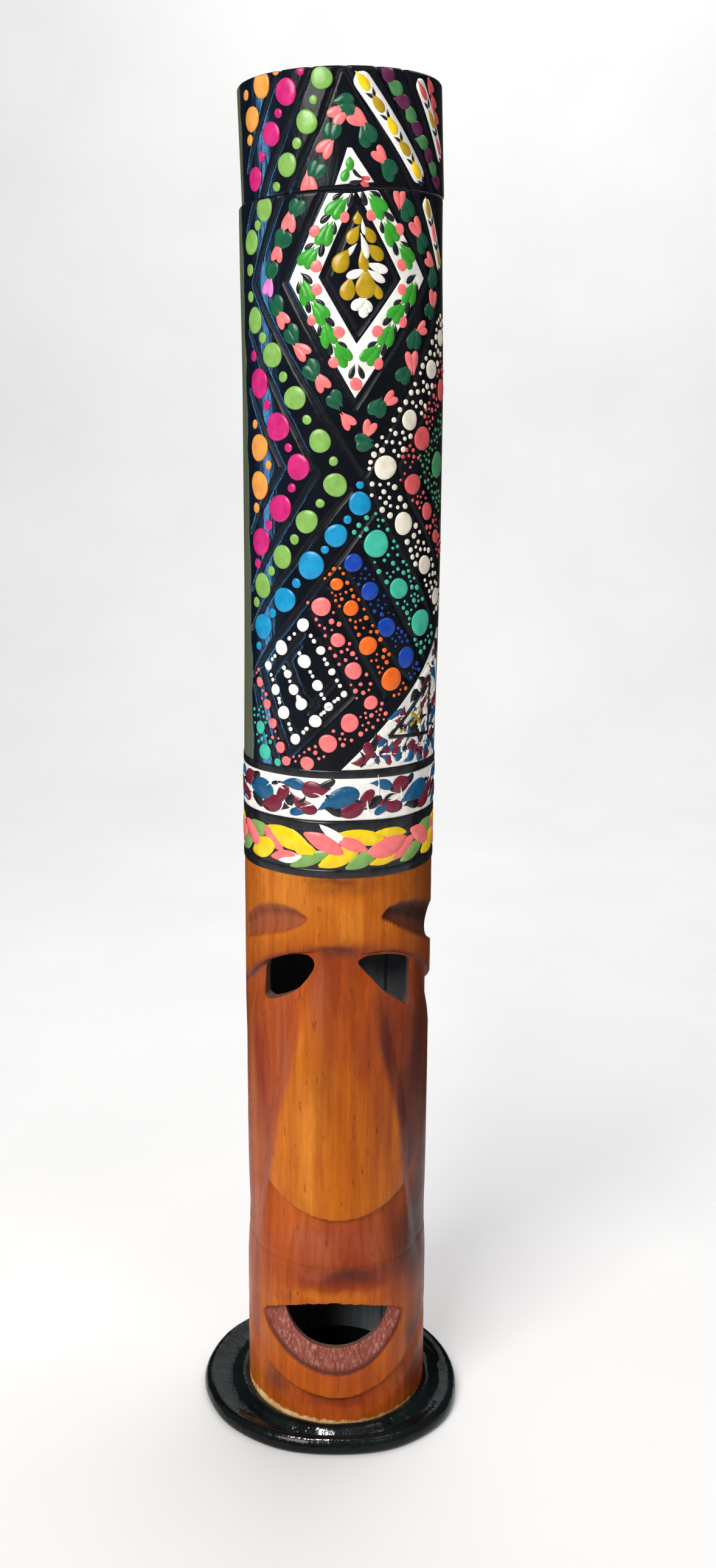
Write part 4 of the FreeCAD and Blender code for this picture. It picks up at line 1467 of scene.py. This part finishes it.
# white corner low on the right, marbled
patch("White", "stick", [(1, 331.2), (77, 331.2), (77, 389), (70, 383.6)], 0.22)
marbled = ("Crimson", "TealBlue", "White", "Black", "Crimson", "White", "TealBlue")
for k in range(120):
    t = math.sqrt(dice.random())
    angle = 5 + 69 * t
    top = 331 + (angle + 1) * 0.74
    height = dice.uniform(334.5, max(335.5, top - 3))
    length, width = dice.uniform(6, 9.5), dice.uniform(3.8, 6)
    heading = dice.choice((50, 80, 130, 215, 300)) + dice.uniform(-15, 15)
    curl = dice.uniform(-70, 70)
    lift = 0.24 + 0.03 * (k % 3)
    stroke(marbled[k % 7], angle, height, length, width, heading, curl, "drop", "stick", lift)
for k in range(30):
    angle = 8 + 65 * math.sqrt(dice.random())
    height = dice.uniform(335, max(336, 327 + angle * 0.74))
    colour, width = (("Black", 1.8), ("White", 2.4))[k % 2]
    stroke(colour, angle, height, dice.uniform(8, 13), width, dice.uniform(0, 360),
        dice.uniform(-120, 120), "drop", "stick", 0.36)
for a, h, heading in ((48, 352.5, 160), (52, 353.5, 40), (47, 350, 220), (52, 350, 330), (60, 360, 70),
    (38, 347, 200)):
    stroke("Mustard", a, h, 6.5, 3.2, heading, 30, "drop", "stick", 0.34)
for path in ([(29, 345), (63, 369)], [(29, 345), (63, 343.5)], [(62.5, 343.5), (62.5, 369)]):
    ribbon("Black", "stick", path, 1.7, 0.85, False)

# black rings, the marbled band and the flower band
ringBand("Black", 327.4, 331.0, 0.34, 0.12)
ringBand("White", 308.6, 327.6, 0.22, 0.25)
ringBand("Black", 303.6, 308.4, 0.34, 0.15)
ringBand("Black", 286.0, 304.0, 0.14)
ringBand("Black", 282.6, 286.4, 0.42, 0.12)
swirls = [
    ("Crimson", 0, 322.6, 10.5, 6.6, 10, 40), ("Black", 9, 324.6, 8, 3.4, 200, -50),
    ("TealBlue", 17, 319.2, 16, 8.0, 190, 26),
    ("Black", 12, 313.6, 9, 4.4, 165, 50), ("Crimson", 24, 313.2, 11, 6.4, 205, -46),
    ("Crimson", 31, 319.5, 10, 5.0, 235, 60),
    ("Black", 37, 316.8, 8, 4.2, 230, -40), ("TealBlue", 41, 323.6, 9, 4.6, 175, 40),
    ("Crimson", 47, 313.8, 12, 5.6, 150, -60),
    ("Black", 49, 322.0, 8, 3.6, 20, 50), ("TealBlue", 40, 312.4, 8, 3.4, 20, -60),
]
for turn in range(7):
    for colour, a, h, length, width, heading, curl in swirls:
        angle = -66 + 360 / 7 * turn + a + dice.uniform(-1.2, 1.2)
        stroke(colour, angle, h + dice.uniform(-0.7, 0.7), length * dice.uniform(1.15, 1.4),
            width * dice.uniform(1.15, 1.4),
               heading + dice.uniform(-14, 14), curl, "drop", "stick", 0.24 + 0.04 * dice.random())
for turn in range(7):
    for k in range(9):
        angle = -66 + 360 / 7 * (turn + (k + 0.5) / 9) + dice.uniform(-1.5, 1.5)
        stroke(("White", "Black", "White")[k % 3], angle, dice.uniform(312, 324), dice.uniform(6, 10),
            (1.1, 2.0, 1.1)[k % 3],
               dice.uniform(0, 360), dice.uniform(-110, 110), "drop", "stick", 0.36)
flowers = [
    ("SoftLeaf", -57, 300, 17, 8, 8), ("Coral", -42, 298, 15, 6.4, -38),
    ("Yellow", -50, 292.5, 17, 9, 24), ("Coral", -33, 291, 14, 5, 10),
    ("White", -29, 290, 12, 3.8, 14), ("Yellow", -31, 299.5, 22, 9.4, -16),
    ("Yellow", -20, 295, 14, 7, -26), ("SoftLeaf", -17, 291, 18, 6, 24),
    ("White", -2, 302, 15, 4.4, -34), ("Coral", -8, 298.5, 18, 7.4, -26), ("Yellow", 2, 292.8, 20, 8, 28),
    ("Yellow", 15, 301, 21, 7, -12),
    ("SoftLeaf", 15, 291, 16, 6.6, 28), ("Coral", 8, 298, 14, 6, -22), ("Coral", 30, 295.5, 19, 9, 14),
    ("Yellow", 33, 302, 15, 5, -6),
    ("Yellow", 30, 290.6, 16, 5, 16), ("Coral", 42, 294, 15, 6.4, 34),
    ("SoftLeaf", 50, 291.5, 16, 6.4, 26), ("Coral", 58, 297.5, 16, 8, -28),
]
for turn in range(3):
    for k, (colour, a, h, length, width, heading) in enumerate(flowers):
        stroke(colour, a + 120 * turn, h, 1.12 * length, 1.16 * width,
            heading + dice.uniform(-4, 4) * (turn > 0), 12 * (-1) ** k, "leaf",
               "stick", 0.08 + 0.05 * (k % 5))

for (colour, part), (verts, faces) in paintPot.items():
    newPiece("paint%s_%s" % (colour, part), verts, faces, [paints[colour]], part, "painted_bamboo")
print("paint laid:", len(paintPot), "pieces,", sum(len(f) for _, f in paintPot.values()), "faces")

# what is inside, and the metal

finishes = {
    "base_nails": nailMetal,
    "floor_brads": nailMetal,
    "chamber_floor": plywood,
    "cap_disc": plywood,
    "cap_sleeve": cutBamboo,
}
finishes.update({"rain_pegs_%d" % turn: pegBamboo for turn in range(1, 5)})
for name, material in finishes.items():
    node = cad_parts[name]
    if not node.material_slots:
        node.data.materials.append(material)
    for slot in node.material_slots:
        slot.material = material

seeds = {"rings": [(0, 1), (6.5, 6), (18, 12), (24.5, 12), (31, 24)], "layers": 2, "radius": 2.5,
    "full": 0.99}


def seedHeap():
    # oval seeds, each turned its own way, where the seeds of the model lie
    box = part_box("rain_seeds")
    low = box[0].z / mm
    verts, faces, across, up = [], [], 12, 8
    for layer in range(seeds["layers"]):
        for reach, count in seeds["rings"]:
            for k in range(count):
                turn = math.radians(360 * k / count)
                rest = low + seeds["radius"] * (1 + 2 * layer)
                middle = Vector((reach * math.sin(turn), -reach * math.cos(turn), rest))
                spin = Matrix.Rotation(dice.uniform(0, 6.3), 3, "Z")
                twist = spin @ Matrix.Rotation(dice.uniform(-0.4, 0.4), 3, "X")
                fat = dice.uniform(0.78, 0.9)
                start = len(verts)
                for i in range(up + 1):
                    lean = math.pi * i / up
                    for j in range(across):
                        t = 2 * math.pi * j / across
                        dent = 1 - 0.12 * max(0.0, math.cos(t)) * math.sin(lean) ** 2
                        broad = math.sin(lean) * math.cos(t) * fat * dent
                        spot = Vector((broad, math.cos(lean), math.sin(lean) * math.sin(t) * 0.86))
                        spot = spot * seeds["radius"] * seeds["full"]
                        verts.append(tuple((middle + twist @ spot) * mm))
                for i in range(up):
                    for j in range(across):
                        a, b = start + i * across + j, start + i * across + (j + 1) % across
                        faces.append([a, b, b + across, a + across])
    return verts, faces


verts, faces = seedHeap()
rainSeeds = newPiece("rainSeeds", verts, faces, [seedShell], "seeds", "dry_seed", "rain_seeds")
bm = bmesh.new()
bm.from_mesh(rainSeeds.data)
bmesh.ops.remove_doubles(bm, verts=bm.verts, dist=1e-6)
bm.to_mesh(rainSeeds.data)
bm.free()
print("inside fitted")

# floor, light and camera

stage = {"reach": 3.0, "bend": 1.1, "radius": 0.5}


def studioFloor():
    # a pale floor that curves up behind
    profile = [(-stage["reach"], 0.0), (stage["bend"], 0.0)]
    for k in range(1, 13):
        t = math.radians(90 * k / 12)
        profile.append(
            (stage["bend"] + stage["radius"] * math.sin(t), stage["radius"] * (1 - math.cos(t)))
        )
    profile.append((stage["bend"] + stage["radius"], 3.0))
    verts = [(x, y, z) for y, z in profile for x in (-stage["reach"], stage["reach"])]
    faces = [[2 * k, 2 * k + 1, 2 * k + 3, 2 * k + 2] for k in range(len(profile) - 1)]
    mesh = bpy.data.meshes.new("studioFloor")
    mesh.from_pydata(verts, [], faces)
    r = Recipe("floorPaper")
    body = r.mix(r.ramp(r.noise(6, 3), 0.3, 0.7), (0.80, 0.80, 0.80, 1), (0.84, 0.84, 0.84, 1))
    mesh.materials.append(r.finish(Base_Color=body, Roughness=0.9))
    mesh.polygons.foreach_set("use_smooth", [True] * len(mesh.polygons))
    floor = bpy.data.objects.new("studioFloor", mesh)
    bpy.context.scene.collection.objects.link(floor)


def areaLight(name, place, target, width, height, power, colour=(1, 1, 1)):
    lamp = bpy.data.lights.new(name, "AREA")
    lamp.shape, lamp.size, lamp.size_y = "RECTANGLE", width, height
    lamp.energy, lamp.color = power, colour
    holder = bpy.data.objects.new(name, lamp)
    bpy.context.scene.collection.objects.link(holder)
    holder.location = place
    holder.rotation_euler = (Vector(target) - Vector(place)).to_track_quat("-Z", "Y").to_euler()
    holder.visible_camera = False
    return holder


studioFloor()
key = areaLight("keySoftbox", (-0.62, -1.1, 1.15), (0, 0, 0.3), 0.8, 0.8, 21.5, (1.0, 0.98, 0.95))
key.data.specular_factor = 0.4
areaLight("fillCard", (0.7, -1.1, 1.3), (0, 0, 0.3), 0.6, 0.6, 1.6, (1.0, 0.95, 0.92))
areaLight("backCard", (0.3, 0.7, 1.5), (0, 0.7, 0.0), 1.2, 1.2, 14.0)
# a window at the left, linked to the walls of the chamber and of the cap alone
glassy = bpy.data.collections.new("glassyPaint")
for piece in (chamberWall, capWall):
    glassy.objects.link(piece)
windowLight = areaLight("windowSide", (-0.74, 0.05, 0.44), (0, 0, 0.42), 0.06, 0.8, 7.5, (0.16, 0.5, 1.0))
windowLight.light_linking.receiver_collection = glassy
# a lamp overhead, linked to the base alone
wet = bpy.data.collections.new("wetBase")
wet.objects.link(basePlate)
glint = areaLight("baseGlint", (-0.15, -0.24, 1.05), (0, -0.05, 0), 0.12, 0.12, 16.0)
glint.light_linking.receiver_collection = wet


def blackFlag(name, near, far, top):
    # a black studio flag behind the tube: only glossy rays see it, so the round edges reflect its dark
    # instead of the pale backdrop
    (x0, y0), (x1, y1) = near, far
    mesh = bpy.data.meshes.new(name)
    mesh.from_pydata([(x0, y0, 0.001), (x1, y1, 0.001), (x1, y1, top), (x0, y0, top)], [], [(0, 1, 2, 3)])
    flag = bpy.data.objects.new(name, mesh)
    bpy.context.scene.collection.objects.link(flag)
    mesh.materials.append(Recipe("flagCloth").finish(Base_Color=(0.02, 0.02, 0.02, 1), Roughness=0.9))
    flag.visible_camera = False
    flag.visible_diffuse = False
    flag.visible_shadow = False
    flag.visible_transmission = False


blackFlag("flagLeft", (-0.12, 0.34), (-0.36, 0.1), 0.8)
blackFlag("flagRight", (0.08, 0.34), (0.42, 0.02), 0.8)
world = bpy.data.worlds.new("paleRoom")
bpy.context.scene.world = world
world.use_nodes = True
world.node_tree.nodes["Background"].inputs["Color"].default_value = (0.93, 0.94, 0.96, 1)
world.node_tree.nodes["Background"].inputs["Strength"].default_value = 0.34

viewpoint = {"distance": 0.657, "height": 0.4771, "pitch": 13.9, "roll": -0.24, "lens": 33.7,
    "shift": 0.0115}
camera = bpy.data.cameras.new("camera")
camera.sensor_fit = "VERTICAL"
camera.sensor_height = 36.0
camera.lens = viewpoint["lens"]
camera.shift_x = viewpoint["shift"]
cameraHolder = bpy.data.objects.new("camera", camera)
bpy.context.scene.collection.objects.link(cameraHolder)
cameraHolder.location = (0.0, -viewpoint["distance"], viewpoint["height"])
cameraHolder.rotation_euler = (math.radians(90 - viewpoint["pitch"]), math.radians(viewpoint["roll"]), 0)
bpy.context.scene.camera = cameraHolder
bpy.context.scene.view_settings.view_transform = "Standard"
print("stage ready")
